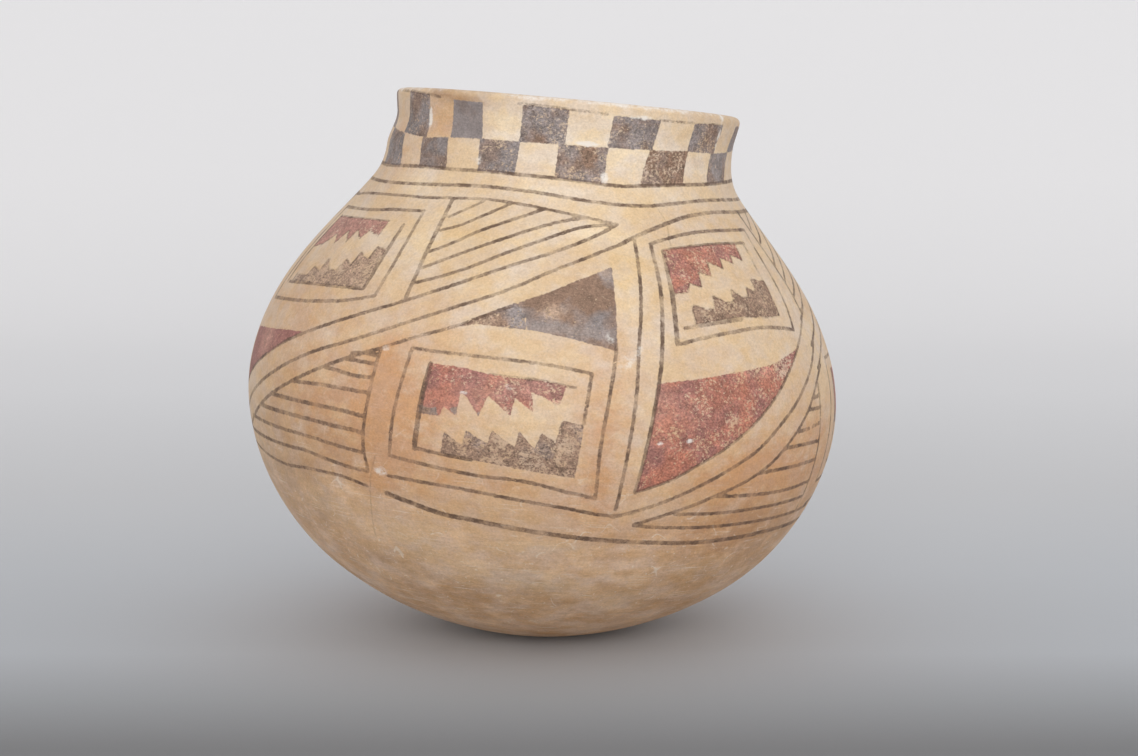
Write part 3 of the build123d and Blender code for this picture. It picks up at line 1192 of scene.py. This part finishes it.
@dataclass(frozen=True)
class SlipFinish:
    """Cream slip over buff clay, stone-polished, with dark and red mineral paint.

    A pair that ends in _rise holds a strength where its cause is absent, and what the full cause adds.
    """

    cream: Colour = srgb(223, 199, 171)
    pale: Colour = srgb(234, 214, 188)
    pale_share: float = 0.5
    tan: Colour = srgb(210, 174, 138)
    tan_share: float = 0.25
    film: Colour = srgb(232, 216, 200)
    film_share: float = 0.4
    buff: Colour = srgb(242, 211, 184)
    buff_dark: Colour = srgb(204, 158, 112)
    buff_dark_share: float = 0.85
    slip_fade: Spot = (-58.0, -8.0)         # heights between which the slip gives out
    slip_wander: float = 26.0               # how far that border wanders up and down
    tints: Sequence[tuple[Tint, Colour, float]] = (
        (Tint.PALE, srgb(250, 236, 216), 0.9),
        (Tint.GOLD, srgb(233, 206, 164), 0.8),
        (Tint.BLUSH, srgb(208, 158, 119), 0.9),
        # the dark brown of soot, which also serves as painted shade on the lip and the jar's left side
        (Tint.SMOKE, srgb(158, 122, 92), 0.8),
    )
    tint_rise: Spot = (0.35, 0.45)          # with patches and stains in the clay
    tint_limit: float = 0.9
    uneven_rise: Spot = (0.12, 0.1)         # streaks and stains, with bare clay
    grey_wash: Triple = (0.98, 0.985, 1.02)
    ochre_wash: Triple = (1.015, 0.965, 0.85)
    fleck_wash: Triple = (0.945, 0.93, 0.91)
    scratched: Colour = srgb(240, 224, 204)
    scratch_rise: Spot = (0.12, 0.45)       # with bare clay
    brushed_share: float = 1.2
    red: Coat = Coat(Pigment.RED, 1.3, srgb(185, 118, 97), srgb(156, 105, 97), srgb(206, 160, 142), 0.2)
    dark: Coat = Coat(Pigment.DARK, 1.2, srgb(146, 136, 134), srgb(138, 110, 92), srgb(187, 158, 136), 0.5)
    tone_rise: Spot = (0.5, 1.6)            # unevenness of a coat, with its wear
    tone_gain: float = 1.6
    coat_cover: float = 0.97
    brush_paint: Colour = srgb(100, 78, 64)
    brush_ragged: float = 0.9
    brush_rise: Spot = (0.18, 0.56)         # depth of a brush line, with the brush's load
    brush_pull: Cloud = Cloud(8.0, 4.0, 1.0, 0.8)
    brush_pull_gain: float = 2.5
    brush_limits: Spot = (0.08, 0.95)
    coarse_least: float = 0.4               # grain of the bare slip
    coarse_rise: Spot = (0.2, 2.4)          # what paint adds to it, with its wear
    chalk: Colour = srgb(245, 237, 228)
    chalk_flake: Cloud = Cloud(3.6, 5.0, 1.3, 0.8)
    chalk_band: Spot = (0.3, 0.56)
    chalk_share: float = 0.85
    crack_band: Spot = (0.4, -0.1)
    crack_share: float = 0.28
    roughness: float = 0.58
    streak_shine: float = -0.1              # what a polished streak adds to the roughness
    paint_matt: float = 0.1                 # what paint adds to it
    specular: float = 0.32
    relief: Spot = (0.5, 0.22)              # strength and depth

    def material(self, effects: SharedEffects) -> bpy.types.Material:
        """Make the material.

        Args:
            effects: shared node groups.

        Returns:
            The material.
        """
        made, recipe = Recipe.for_material("painted_slip")
        place = recipe.attribute("place", "Vector")
        mottle, burnish = (recipe.group(tree, Place=place) for tree in (effects.mottle, effects.burnish))
        clay, bare = self._slip(recipe, place, mottle, burnish)
        brushed = (burnish["Brushed"] - 0.5) * (bare * self.brushed_share)
        colour, painted = self._paint(recipe, effects, place, clay, mottle["Grain"] + brushed - 0.5)
        rough = burnish["Streak"] * self.streak_shine + painted * self.paint_matt + self.roughness
        recipe.surface(colour, rough, self.specular, mottle["Grain"] + burnish["Streak"], *self.relief)
        return made

    def _slip(self, recipe: Recipe, place: Value, mottle: dict[str, Value],
              burnish: dict[str, Value]) -> tuple[Value, Value]:
        """Colour of the unpainted wall, from the cream above to the bare buff below.

        Args:
            recipe: recipe of the material.
            place: places in the jar's own frame.
            mottle: uneven clay.
            burnish: polishing marks.

        Returns:
            The colour, and how bare of slip the wall is.
        """
        patch, stain, ochre = mottle["Patch"], mottle["Stain"], mottle["Ochre"]
        low, high = (edge + PATTERN_LEVEL for edge in self.slip_fade)
        bare = recipe.ease(recipe.along(place, 2) + (patch - 0.5) * self.slip_wander, high, low)
        cream = recipe.blend(mottle["Broad"] * self.pale_share, self.cream, self.pale)
        cream = recipe.blend(patch * self.tan_share, cream, self.tan)
        cream = recipe.blend(mottle["Film"] * self.film_share, cream, self.film)
        buff = recipe.blend(patch * self.buff_dark_share, self.buff, self.buff_dark)
        wall = recipe.blend(bare, cream, buff)
        ragged = (patch + stain).rise(*self.tint_rise)
        for tint, colour, share in self.tints:
            strength = recipe.attribute(tint.value) * ragged * share
            wall = recipe.blend(recipe.math("MINIMUM", strength, self.tint_limit), wall, colour)
        uneven = bare.rise(*self.uneven_rise)
        wall = recipe.blend(burnish["Streak"] * uneven, wall, self.buff_dark)
        wall = recipe.blend(stain * uneven, wall, self.tan)
        for share, wash in ((1.0 - ochre, self.grey_wash), (ochre, self.ochre_wash),
                            (mottle["Fleck"], self.fleck_wash)):
            wall = recipe.stain(share, wall, wash)
        return recipe.blend(burnish["Scratch"] * bare.rise(*self.scratch_rise), wall, self.scratched), bare

    def _paint(self, recipe: Recipe, effects: SharedEffects, place: Value, clay: Value,
               grain: Value) -> tuple[Value, Value]:
        """Lay the red, the dark and the brush lines over the slip, then the residue and cracks.

        Args:
            recipe: recipe of the material.
            effects: shared node groups.
            place: places in the jar's own frame.
            clay: colour of the unpainted wall.
            grain: fine grain of the surface, about 0.

        Returns:
            The colour, and how much of the surface is painted.
        """
        wear, fade, warmth = (recipe.attribute(name) for name in PaintedGrid.paint_values)
        red, dark = (
            recipe.group(effects.worn_edge, Place=place, Edge=recipe.attribute(coat.pigment.value),
                         Ragged=coat.ragged, Wear=wear)
            for coat in (self.red, self.dark)
        )
        tone = ((dark["Tone"] - 0.5) * wear.rise(*self.tone_rise)).rise(1.0, self.tone_gain)
        # fade below 0 darkens the paint: denser paint, and painted shade on the neck's left checks
        tone = tone + recipe.math("MINIMUM", fade, 0.0)
        colour = clay
        for coat, laid in ((self.red, red), (self.dark, dark)):
            pigment = recipe.blend(laid["Cloud"] + warmth, coat.cool, coat.warm)
            pigment = recipe.shade(recipe.blend(fade, pigment, coat.faded), tone)
            colour = recipe.blend(laid["Area"] * coat.stain, colour, coat.faded)
            colour = recipe.blend(laid["Cover"] * self.coat_cover, colour, pigment)
        load = recipe.attribute("brush_load")
        line = recipe.group(effects.worn_edge, Place=place, Edge=recipe.attribute("brush_edge"),
                            Ragged=self.brush_ragged, Wear=1.0 - load)["Cover"]
        pull = (recipe.cloud(place, self.brush_pull) - 0.5) * self.brush_pull_gain
        least, most = self.brush_limits
        depth = recipe.math("MAXIMUM", load.rise(*self.brush_rise) + pull, least)
        colour = recipe.blend(line * recipe.math("MINIMUM", depth, most), colour, self.brush_paint)
        painted = recipe.math("MAXIMUM", red["Cover"], dark["Cover"])
        coarse = painted * wear.rise(*self.coarse_rise) + self.coarse_least
        colour = recipe.shade(colour, grain * coarse + 1.0)
        residue = recipe.attribute(Tint.CHALK.value) * recipe.cloud(place, self.chalk_flake)
        colour = recipe.blend(recipe.ease(residue, *self.chalk_band) * self.chalk_share, colour, self.chalk)
        crack = recipe.ease(recipe.attribute("crack_edge"), *self.crack_band) * self.crack_share
        return recipe.blend(crack, colour, self.brush_paint), recipe.math("MAXIMUM", painted, line)


@dataclass(frozen=True)
class InsideFinish:
    """Wiped buff clay inside, with slip lapping over the rim."""

    clay: Colour = srgb(184, 146, 114)
    clay_dark: Colour = srgb(150, 114, 86)
    streak_share: float = 0.35
    grain_share: float = 0.25
    slip: Colour = srgb(222, 196, 164)
    slip_edge: Spot = (197.0, 208.0)
    slip_wander: float = 9.0
    roughness: float = 0.78
    specular: float = 0.25
    relief: Spot = (0.6, 0.4)               # strength and depth

    def material(self, effects: SharedEffects) -> bpy.types.Material:
        """Make the material.

        Args:
            effects: shared node groups.

        Returns:
            The material.
        """
        made, recipe = Recipe.for_material("inside_clay")
        place = recipe.attribute("place", "Vector")
        mottle, burnish = (recipe.group(tree, Place=place) for tree in (effects.mottle, effects.burnish))
        patch, grain, streak = mottle["Patch"], mottle["Grain"], burnish["Streak"]
        clay = recipe.blend(patch, self.clay, self.clay_dark)
        clay = recipe.blend(streak * self.streak_share, clay, self.clay_dark)
        lapped = recipe.ease(recipe.along(place, 2) + patch * self.slip_wander, *self.slip_edge)
        colour = recipe.blend(lapped, clay, self.slip)
        colour = recipe.blend(grain * self.grain_share, colour, self.clay_dark)
        recipe.surface(colour, self.roughness, self.specular, grain + streak, *self.relief)
        return made


def put_in_scene(name: str, data: bpy.types.ID) -> bpy.types.Object:
    """Make an object of its data, and put it in the scene."""
    made = bpy.data.objects.new(name, data)
    bpy.context.scene.collection.objects.link(made)
    return made


@dataclass
class RingMesh:
    """Grid of one closed ring, row by row round its section: outside up, then inside down.

    Attributes:
        places: metres, by row and column.
        normals: smooth directions, by row and column.
        theta: degrees round, by row and column.
        height: heights above the foot along the axis.
        radius: distances from the axis.
        outside_rows: rows of the outside, which come first.
        flat_strips: strips between rows that are coil joints.
        closed: whether the last row joins the first; a bottom is closed by two caps instead.
    """

    places: np.ndarray
    normals: np.ndarray
    theta: np.ndarray
    height: np.ndarray
    radius: np.ndarray
    outside_rows: int
    flat_strips: Sequence[int]
    closed: bool = True


class ClayWall:
    """The jar's wall, as one ring of clay for each coil of the frame."""

    column_step: float = 0.4          # degrees between columns where the wall is painted
    plain_column_step: float = 1.0    # degrees between columns on the bare bottom
    row_step: float = 0.85
    plain_row_step: float = 1.7
    inside_rows: int = 8
    lip_rows: int = 14
    lip_squareness: float = 2.3
    bowl_pole: float = 0.8            # radius of the cap that closes the middle of the bottom
    neck_lean_in: float = 4.0         # how far the left of the rim leans in
    neck_bend: Spot = (196.0, 210.0)
    lip_roll_out: float = 1.1         # how far the right of the lip rolls out
    lip_bend: Spot = (203.0, 214.0)
    # Slow swells of the scraped wall: depth, waves round the jar, rise of one radian, and start
    swells: Sequence[tuple[float, ...]] = ((0.16, 3, 47, 0.8), (0.12, 5, -31, 2.1))
    ripple_depth: float = 0.05
    ripples: Sequence[Spot] = ((17, 9), (3, 13))    # waves round the jar, and rise of one radian
    paint_allowance: float = 20.0     # how far above the rim's middle the painted wall is traced
    map_sectors: int = 4              # lengths that a ring is cut into on its bake map
    map_side: float = 0.005           # clear share at the ends of each length
    map_gap: float = 0.02             # clear share above and below it
    disc_middles: Spot = (0.25, 0.75)
    disc_reach: float = 0.24
    cap_reach: float = 0.001
    least_area: float = 1e-12

    def __init__(self, section: WallSection, stance: Stance) -> None:
        """Keep the wall's section and stance."""
        self.section = section
        self.stance = stance

    def _unevenness(self, theta: np.ndarray, run: np.ndarray, height: np.ndarray) -> np.ndarray:
        """How far the scraped wall swells or hollows, which a wheel would not leave.

        Args:
            theta: degrees round.
            run: distances along the outside.
            height: heights above the foot.

        Returns:
            Swelling at each place; the top of the neck leans in on the left and rolls out on the right.
        """
        turn = np.radians(theta)
        slow = sum(depth * np.sin(waves * turn + run / rise + start)
                   for depth, waves, rise, start in self.swells)
        first, second = (np.sin(waves * turn + run / rise) for waves, rise in self.ripples)
        lean_in = soft_step(height, *self.neck_bend) * np.maximum(0, -np.sin(turn))
        roll_out = soft_step(height, *self.lip_bend) * np.maximum(0, np.sin(turn))
        fine = self.ripple_depth * first * second
        return slow + fine - self.neck_lean_in * lean_in + self.lip_roll_out * roll_out

    def _grid(self, theta: np.ndarray, run: np.ndarray, depth: np.ndarray | float) -> tuple[np.ndarray, ...]:
        """Lay a grid on the wall.

        Args:
            theta: degrees round, by row and column.
            run: distances along the outside.
            depth: how deep under the outside.

        Returns:
            Places in metres, radii and heights.
        """
        radius, height, out, up = self.section.at(run)
        radius = np.maximum(radius - depth * up + self._unevenness(theta, run, height), 0.0)
        height = height + depth * out
        return self.stance.place(theta, radius, height), radius, height

    @staticmethod
    def _grid_normals(places: np.ndarray) -> np.ndarray:
        """Directions square to a grid that closes on itself along its columns.

        Args:
            places: places, by row and column.

        Returns:
            Unit directions.
        """
        round_it = np.roll(places, -1, axis=1) - np.roll(places, 1, axis=1)
        along = np.gradient(places, axis=0)
        square = np.cross(round_it, along)
        return square / np.maximum(np.linalg.norm(square, axis=2, keepdims=True), ClayWall.least_area)

    def _band(self, theta: np.ndarray, run: np.ndarray, depth: float) -> tuple[np.ndarray, ...]:
        """Lay one face of a ring, with directions that carry on smoothly into the next ring.

        Args:
            theta: degrees round, by column.
            run: distances along the outside, by row and column.
            depth: how deep under the outside.

        Returns:
            Places, directions, radii and heights, by row and column.
        """
        carried = np.vstack([2 * run[:1] - run[1:2], run, 2 * run[-1:] - run[-2:-1]])
        turns = np.broadcast_to(theta, carried.shape)
        places, radius, height = self._grid(turns, carried, depth)
        return places[1:-1], self._grid_normals(places)[1:-1], radius[1:-1], height[1:-1]

    def _columns(self, painted: bool) -> np.ndarray:
        """Degrees of the columns, from the back round."""
        step = self.column_step if painted else self.plain_column_step
        return np.arange(-180.0, 180.0, step)

    def _even_ring(self, theta: np.ndarray, outer: np.ndarray, inner: np.ndarray, closed: bool) -> RingMesh:
        """Shape a ring whose edges run level.

        Args:
            theta: degrees of its columns.
            outer: distances of its outside rows along the wall, from the bottom up.
            inner: the same for its inside rows, from the top down.
            closed: whether the inside joins the outside at the foot.

        Returns:
            Its grid.
        """
        level = np.ones((1, theta.size))
        outside = self._band(theta, outer[:, None] * level, 0.0)
        inside = self._band(theta, inner[:, None] * level, self.section.wall)
        places, normals, radius, height = (np.vstack(pair) for pair in zip(outside, inside, strict=True))
        strips = (outer.size - 1, outer.size + inner.size - 1) if closed else (outer.size - 1,)
        turns = np.broadcast_to(theta, radius.shape)
        return RingMesh(places, normals, turns, height, radius, outer.size, strips, closed)

    def coil(self, number: int, painted: bool) -> RingMesh:
        """Shape one coil below the rim.

        Args:
            number: the coil, counted up from the bottom.
            painted: whether it carries paint and needs the fine grid.

        Returns:
            Its grid.
        """
        low, high = self.section.joints[number:number + 2]
        rows = round((high - low) / (self.row_step if painted else self.plain_row_step)) + 1
        inner = np.linspace(high - self.section.lap, low - self.section.lap, self.inside_rows)
        return self._even_ring(self._columns(painted), np.linspace(low, high, rows), inner, True)

    def bottom(self) -> RingMesh:
        """Shape the moulded bottom, from the middle of its worn flat out and back inside."""
        edge = self.section.joints[0]
        outer = np.linspace(self.bowl_pole, edge, round(edge / self.plain_row_step) + 1)
        inner = np.linspace(self.section.bowl_run, self.bowl_pole, 2 * self.inside_rows)
        return self._even_ring(self._columns(False), outer, inner, False)

    def rim(self) -> RingMesh:
        """Shape the last coil, cut on the slant and rounded to a lip."""
        section, theta = self.section, self._columns(True)
        low = section.joints[-2]
        outer_top = section.rim_run(theta, section.mouth_radius) - section.lip_round
        inner_top = section.rim_run(theta, section.mouth_radius - section.wall) - section.lip_round
        rows = round((outer_top.max() - low) / self.row_step) + 1
        share = np.linspace(0, 1, rows)[:, None]
        outside = self._band(theta, low + (outer_top - low) * share, 0.0)
        share = np.linspace(0, 1, self.inside_rows)[:, None]
        inside = self._band(theta, inner_top + (low - section.lap - inner_top) * share, section.wall)
        angle = np.linspace(0, math.pi, self.lip_rows + 2)[1:-1, None]
        power = 2 / self.lip_squareness
        reach = np.sign(np.cos(angle)) * np.abs(np.cos(angle)) ** power
        lift = np.abs(np.sin(angle)) ** power
        depth = section.wall / 2 * (1 - reach)
        run = outer_top + (inner_top - outer_top) * (1 - reach) / 2 + section.lip_round * lift
        turns = np.broadcast_to(theta, run.shape)
        lip_places, lip_radius, lip_height = self._grid(turns, run, depth)
        places = np.vstack([outside[0], lip_places, inside[0]])
        normals = self._grid_normals(places)
        normals[:rows - 1] = outside[1][:-1]
        normals[-self.inside_rows + 1:] = inside[1][1:]
        radius = np.vstack([outside[2], lip_radius, inside[2]])
        height = np.vstack([outside[3], lip_height, inside[3]])
        strips = (rows + self.lip_rows + self.inside_rows - 1,)
        turns = np.broadcast_to(theta, radius.shape)
        return RingMesh(places, normals, turns, height, radius, rows + self.lip_rows, strips)

    def _bake_map(self, ring: RingMesh, strips: np.ndarray, columns: np.ndarray) -> np.ndarray:
        """Lay a ring out flat, in a few lengths that are stacked, or a bottom as two discs.

        Args:
            ring: the ring.
            strips: strip of each face.
            columns: column of each face.

        Returns:
            Map places of each face's four corners.
        """
        row_count, column_count = ring.radius.shape
        side, top = np.array([0, 1, 1, 0]), np.array([0, 0, 1, 1])
        if not ring.closed:
            rows = strips[:, None] + top
            under = (rows < ring.outside_rows) | (strips[:, None] == ring.outside_rows - 1)
            inner_share = 1 - (rows - ring.outside_rows) / (row_count - ring.outside_rows)
            reach = self.disc_reach * np.where(under, np.minimum(rows / ring.outside_rows, 1.0), inner_share)
            turn = 2 * math.pi * (columns[:, None] + side) / column_count
            middle = np.where(under, *self.disc_middles)
            return np.stack([middle + reach * np.sin(turn), 0.5 + reach * np.cos(turn)], axis=-1)
        weights = np.where(np.arange(row_count) < ring.outside_rows - 1, 1.0, 2.0)
        edges = np.concatenate([[0.0], np.cumsum(weights)]) / weights.sum()
        length = column_count // self.map_sectors
        across = ((columns % length)[:, None] + side) / length
        up = self.map_gap + (1 - 2 * self.map_gap) * edges[strips[:, None] + top]
        up = ((columns // length)[:, None] + up) / self.map_sectors
        return np.stack([self.map_side + (1 - 2 * self.map_side) * across, up], axis=-1)

    def mesh(self, name: str, ring: RingMesh, materials: Sequence[bpy.types.Material]) -> bpy.types.Object:
        """Turn a ring's grid into an object.

        Args:
            name: name of the piece.
            ring: the ring.
            materials: the finish outside and the finish inside.

        Returns:
            The object.
        """
        row_count, column_count = ring.radius.shape
        strip_count = row_count if ring.closed else row_count - 1
        strips, columns = (index.ravel() for index in np.mgrid[0:strip_count, 0:column_count])
        upper, onward = (strips + 1) % row_count, (columns + 1) % column_count
        rows = np.stack([strips, strips, upper, upper], axis=1)
        turns = np.stack([columns, onward, onward, columns], axis=1)
        faces = (rows * column_count + turns).tolist()
        normals = ring.normals[rows, turns]
        for strip in ring.flat_strips:
            joint = strips == strip
            corners = ring.places[rows[joint], turns[joint]]
            square = np.cross(corners[:, 1] - corners[:, 0], corners[:, 3] - corners[:, 0])
            normals[joint] = (square / np.linalg.norm(square, axis=1, keepdims=True))[:, None]
        places = self._bake_map(ring, strips, columns).reshape(-1, 2)
        corner_normals = normals.reshape(-1, 3)
        inside = (strips >= ring.outside_rows - 1).astype(int)
        if not ring.closed:
            first, last = list(range(column_count))[::-1], list(range(column_count))
            faces += [first, [(row_count - 1) * column_count + column for column in last]]
            turn = 2 * math.pi * np.array([first, last]) / column_count
            across, up = self.cap_reach * np.sin(turn), self.cap_reach * np.cos(turn)
            discs = np.stack([np.array(self.disc_middles)[:, None] + across, 0.5 + up], axis=-1)
            places = np.vstack([places, discs.reshape(-1, 2)])
            caps = np.vstack([ring.normals[0, first], ring.normals[-1, last]])
            corner_normals = np.vstack([corner_normals, caps])
            inside = np.concatenate([inside, [0, 1]])
        data = bpy.data.meshes.new(name)
        data.from_pydata(ring.places.reshape(-1, 3), [], faces)
        for material in materials:
            data.materials.append(material)
        data.polygons.foreach_set("material_index", inside)
        data.polygons.foreach_set("use_smooth", np.ones(len(data.polygons), dtype=bool))
        data.uv_layers.new(name="OFBake").data.foreach_set("uv", places.ravel())
        data.normals_split_custom_set(corner_normals)
        return put_in_scene(name, data)

    def dress(self, piece: bpy.types.Object, ring: RingMesh, design: Design) -> None:
        """Paint a ring and keep its paint and places on its vertices.

        Args:
            piece: the ring's object.
            ring: its grid.
            design: what is painted on the jar.
        """
        outside = slice(0, ring.outside_rows)
        top = self.section.rim_height + self.paint_allowance
        run = self.section.run_at(np.minimum(ring.height[outside], top))
        grid = PaintedGrid(self.section, ring.theta[outside], run)
        design.paint(grid)
        spare = ring.radius.size - grid.theta.size
        for name, values in grid.values.items():
            rest = FAR if name.endswith("_edge") else 0.0
            layer = piece.data.attributes.new(name, "FLOAT", "POINT")
            layer.data.foreach_set("value", np.concatenate([values, np.full(spare, rest)]))
        turn = np.radians(ring.theta)
        own = np.stack([ring.radius * np.sin(turn), -ring.radius * np.cos(turn), ring.height], axis=-1)
        layer = piece.data.attributes.new("place", "FLOAT_VECTOR", "POINT")
        layer.data.foreach_set("vector", own.ravel())


@dataclass(frozen=True)
class StudioLight:
    """A soft box that faces the jar, in metres and watts."""

    name: str
    place: Triple
    size: float
    power: float
    aim: Triple = (0.0, 0.0, 0.11)

    def hang(self) -> None:
        """Put the light in the room."""
        data = bpy.data.lights.new(self.name, "AREA")
        data.shape = "SQUARE"
        data.size = self.size
        data.energy = self.power
        made = put_in_scene(self.name, data)
        made.location = self.place
        made.rotation_euler = (Vector(self.aim) - Vector(self.place)).to_track_quat("-Z", "Y").to_euler()


@dataclass(frozen=True)
class Studio:
    """Paper sweep, soft light and the camera's place, in metres."""

    floor_front: float = -3.0
    floor_back: float = 1.0
    sweep_radius: float = 0.8
    sweep_points: int = 24
    wall_height: float = 3.0
    half_width: float = 4.0
    # Painted shade on the paper from front to back: depth, grey, and how far it leans from red to blue.
    # The greys fall towards the front where the light falls off, with a painted shadow band just in front
    # of the jar; the blue lean near the jar offsets the warm light that the jar bounces onto the paper
    paper_shade_steps: Sequence[Triple] = (
        (-1.0, 0.60, 0.01), (-0.5, 0.34, 0.02), (-0.2, 0.24, 0.02), (-0.05, 0.54, 0.05), (0.12, 0.61, 0.04),
        (0.35, 0.67, 0.015), (0.75, 0.82, 0.01), (1.4, 0.96, 0.0), (2.0, 0.98, 0.0),
    )
    paper_green: float = 0.99
    paper_roughness: float = 0.9
    paper_specular: float = 0.1
    lamps: Sequence[StudioLight] = (
        StudioLight("front_box", (0.0, -1.9, 0.4), 1.2, 17.4),
        StudioLight("left_box", (-1.5, -0.6, 0.6), 1.0, 1.9),
        StudioLight("right_box", (1.5, -0.6, 0.6), 1.0, 3.6),
    )
    world_strength: float = 0.68
    camera_place: Triple = (0.00789, -1.178, 0.25255)
    camera_pitch: float = 82.8
    lens: float = 91.74
    sensor: float = 36.0

    def sweep(self) -> bpy.types.Object:
        """Curve the paper from the floor up the wall."""
        turns = np.linspace(0, math.pi / 2, self.sweep_points)
        bend = [(math.sin(turn), 1 - math.cos(turn)) for turn in turns]
        side = [(self.floor_back + self.sweep_radius * out, self.sweep_radius * up) for out, up in bend]
        side = [(self.floor_front, 0.0), *side, (self.floor_back + self.sweep_radius, self.wall_height)]
        points = [(x, y, z) for y, z in side for x in (-self.half_width, self.half_width)]
        faces = [(2 * row, 2 * row + 1, 2 * row + 3, 2 * row + 2) for row in range(len(side) - 1)]
        data = bpy.data.meshes.new("paper_sweep")
        data.from_pydata(points, [], faces)
        data.polygons.foreach_set("use_smooth", np.ones(len(faces), dtype=bool))
        data.materials.append(self._paper())
        return put_in_scene("paper_sweep", data)

    def _paper(self) -> bpy.types.Material:
        """Pale grey paper that darkens towards the front, as the light falls off in the photograph."""
        made, recipe = Recipe.for_material("studio_paper")
        front, back = self.paper_shade_steps[0][0], self.paper_shade_steps[-1][0]
        position = recipe.value("ShaderNodeNewGeometry", None, "Position")
        inputs = {"Value": recipe.along(position, 1), "From Min": front, "From Max": back}
        reach = recipe.value("ShaderNodeMapRange", inputs, "Result")
        ramp = recipe.node("ShaderNodeValToRGB", {"Fac": reach})
        stops = ramp.color_ramp.elements
        for number, (depth, grey, cool) in enumerate(self.paper_shade_steps):
            share = (depth - front) / (back - front)
            stop = stops[number] if number < 2 else stops.new(share)
            stop.position = share
            stop.color = (grey * (1 - cool), grey * self.paper_green, grey * (1 + cool), 1.0)
        recipe.surface(Value(recipe, ramp.outputs["Color"]), self.paper_roughness, self.paper_specular)
        return made

    def light(self) -> None:
        """Hang the soft boxes and fill the room with even light."""
        for lamp in self.lamps:
            lamp.hang()
        world = bpy.data.worlds.new("studio_air")
        world.use_nodes = True
        air = world.node_tree.nodes["Background"]
        air.inputs["Color"].default_value = (1.0, 1.0, 1.0, 1.0)
        air.inputs["Strength"].default_value = self.world_strength
        bpy.context.scene.world = world

    def camera(self) -> None:
        """Set the camera where the photograph was taken."""
        data = bpy.data.cameras.new("photo_camera")
        data.lens = self.lens
        data.sensor_width = self.sensor
        data.sensor_fit = "HORIZONTAL"
        made = put_in_scene("photo_camera", data)
        made.location = self.camera_place
        made.rotation_euler = (math.radians(self.camera_pitch), 0.0, 0.0)
        bpy.context.scene.camera = made


@dataclass
class Jar:
    """The whole jar: which coil of the wall stands for which node of the frame."""

    belly_coils: int = 4
    shoulder_coils: int = 3
    neck_coils: int = 2
    bare_nodes: Sequence[str] = ("base_bowl", "belly_coil_1", "belly_coil_2")

    def node_names(self) -> list[str]:
        """Nodes of the coils, from the bottom up and without the moulded bottom."""
        groups = (("belly", self.belly_coils), ("shoulder", self.shoulder_coils), ("neck", self.neck_coils))
        names = [f"{group}_coil_{number + 1}" for group, count in groups for number in range(count)]
        return [*names, "rim_coil"]

    def build(self) -> None:
        """Build and dress every ring."""
        wall = ClayWall(WallSection(), Stance())
        design, effects = Design(), SharedEffects()
        finishes = (SlipFinish().material(effects), InsideFinish().material(effects))
        rings = {"base_bowl": wall.bottom()}
        for number, node in enumerate(self.node_names()):
            last = node == "rim_coil"
            rings[node] = wall.rim() if last else wall.coil(number, painted=number > 0)
        for node, ring in rings.items():
            piece = wall.mesh(f"clay_{node}", ring, finishes)
            wall.dress(piece, ring, design)
            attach(piece, "root")
            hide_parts(node)
            "buff_base" if node in self.bare_nodes else "cream_slip"
            LOG.info("%s: %d faces", piece.name, len(piece.data.polygons))


def main() -> None:
    """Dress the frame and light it."""
    logging.basicConfig(level=logging.INFO, format="%(name)s: %(message)s")
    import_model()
    scene = bpy.context.scene
    scene.view_settings.view_transform = "Standard"
    Jar().build()
    studio = Studio()
    studio.sweep()
    studio.light()
    studio.camera()


if __name__ == "__main__":
    main()
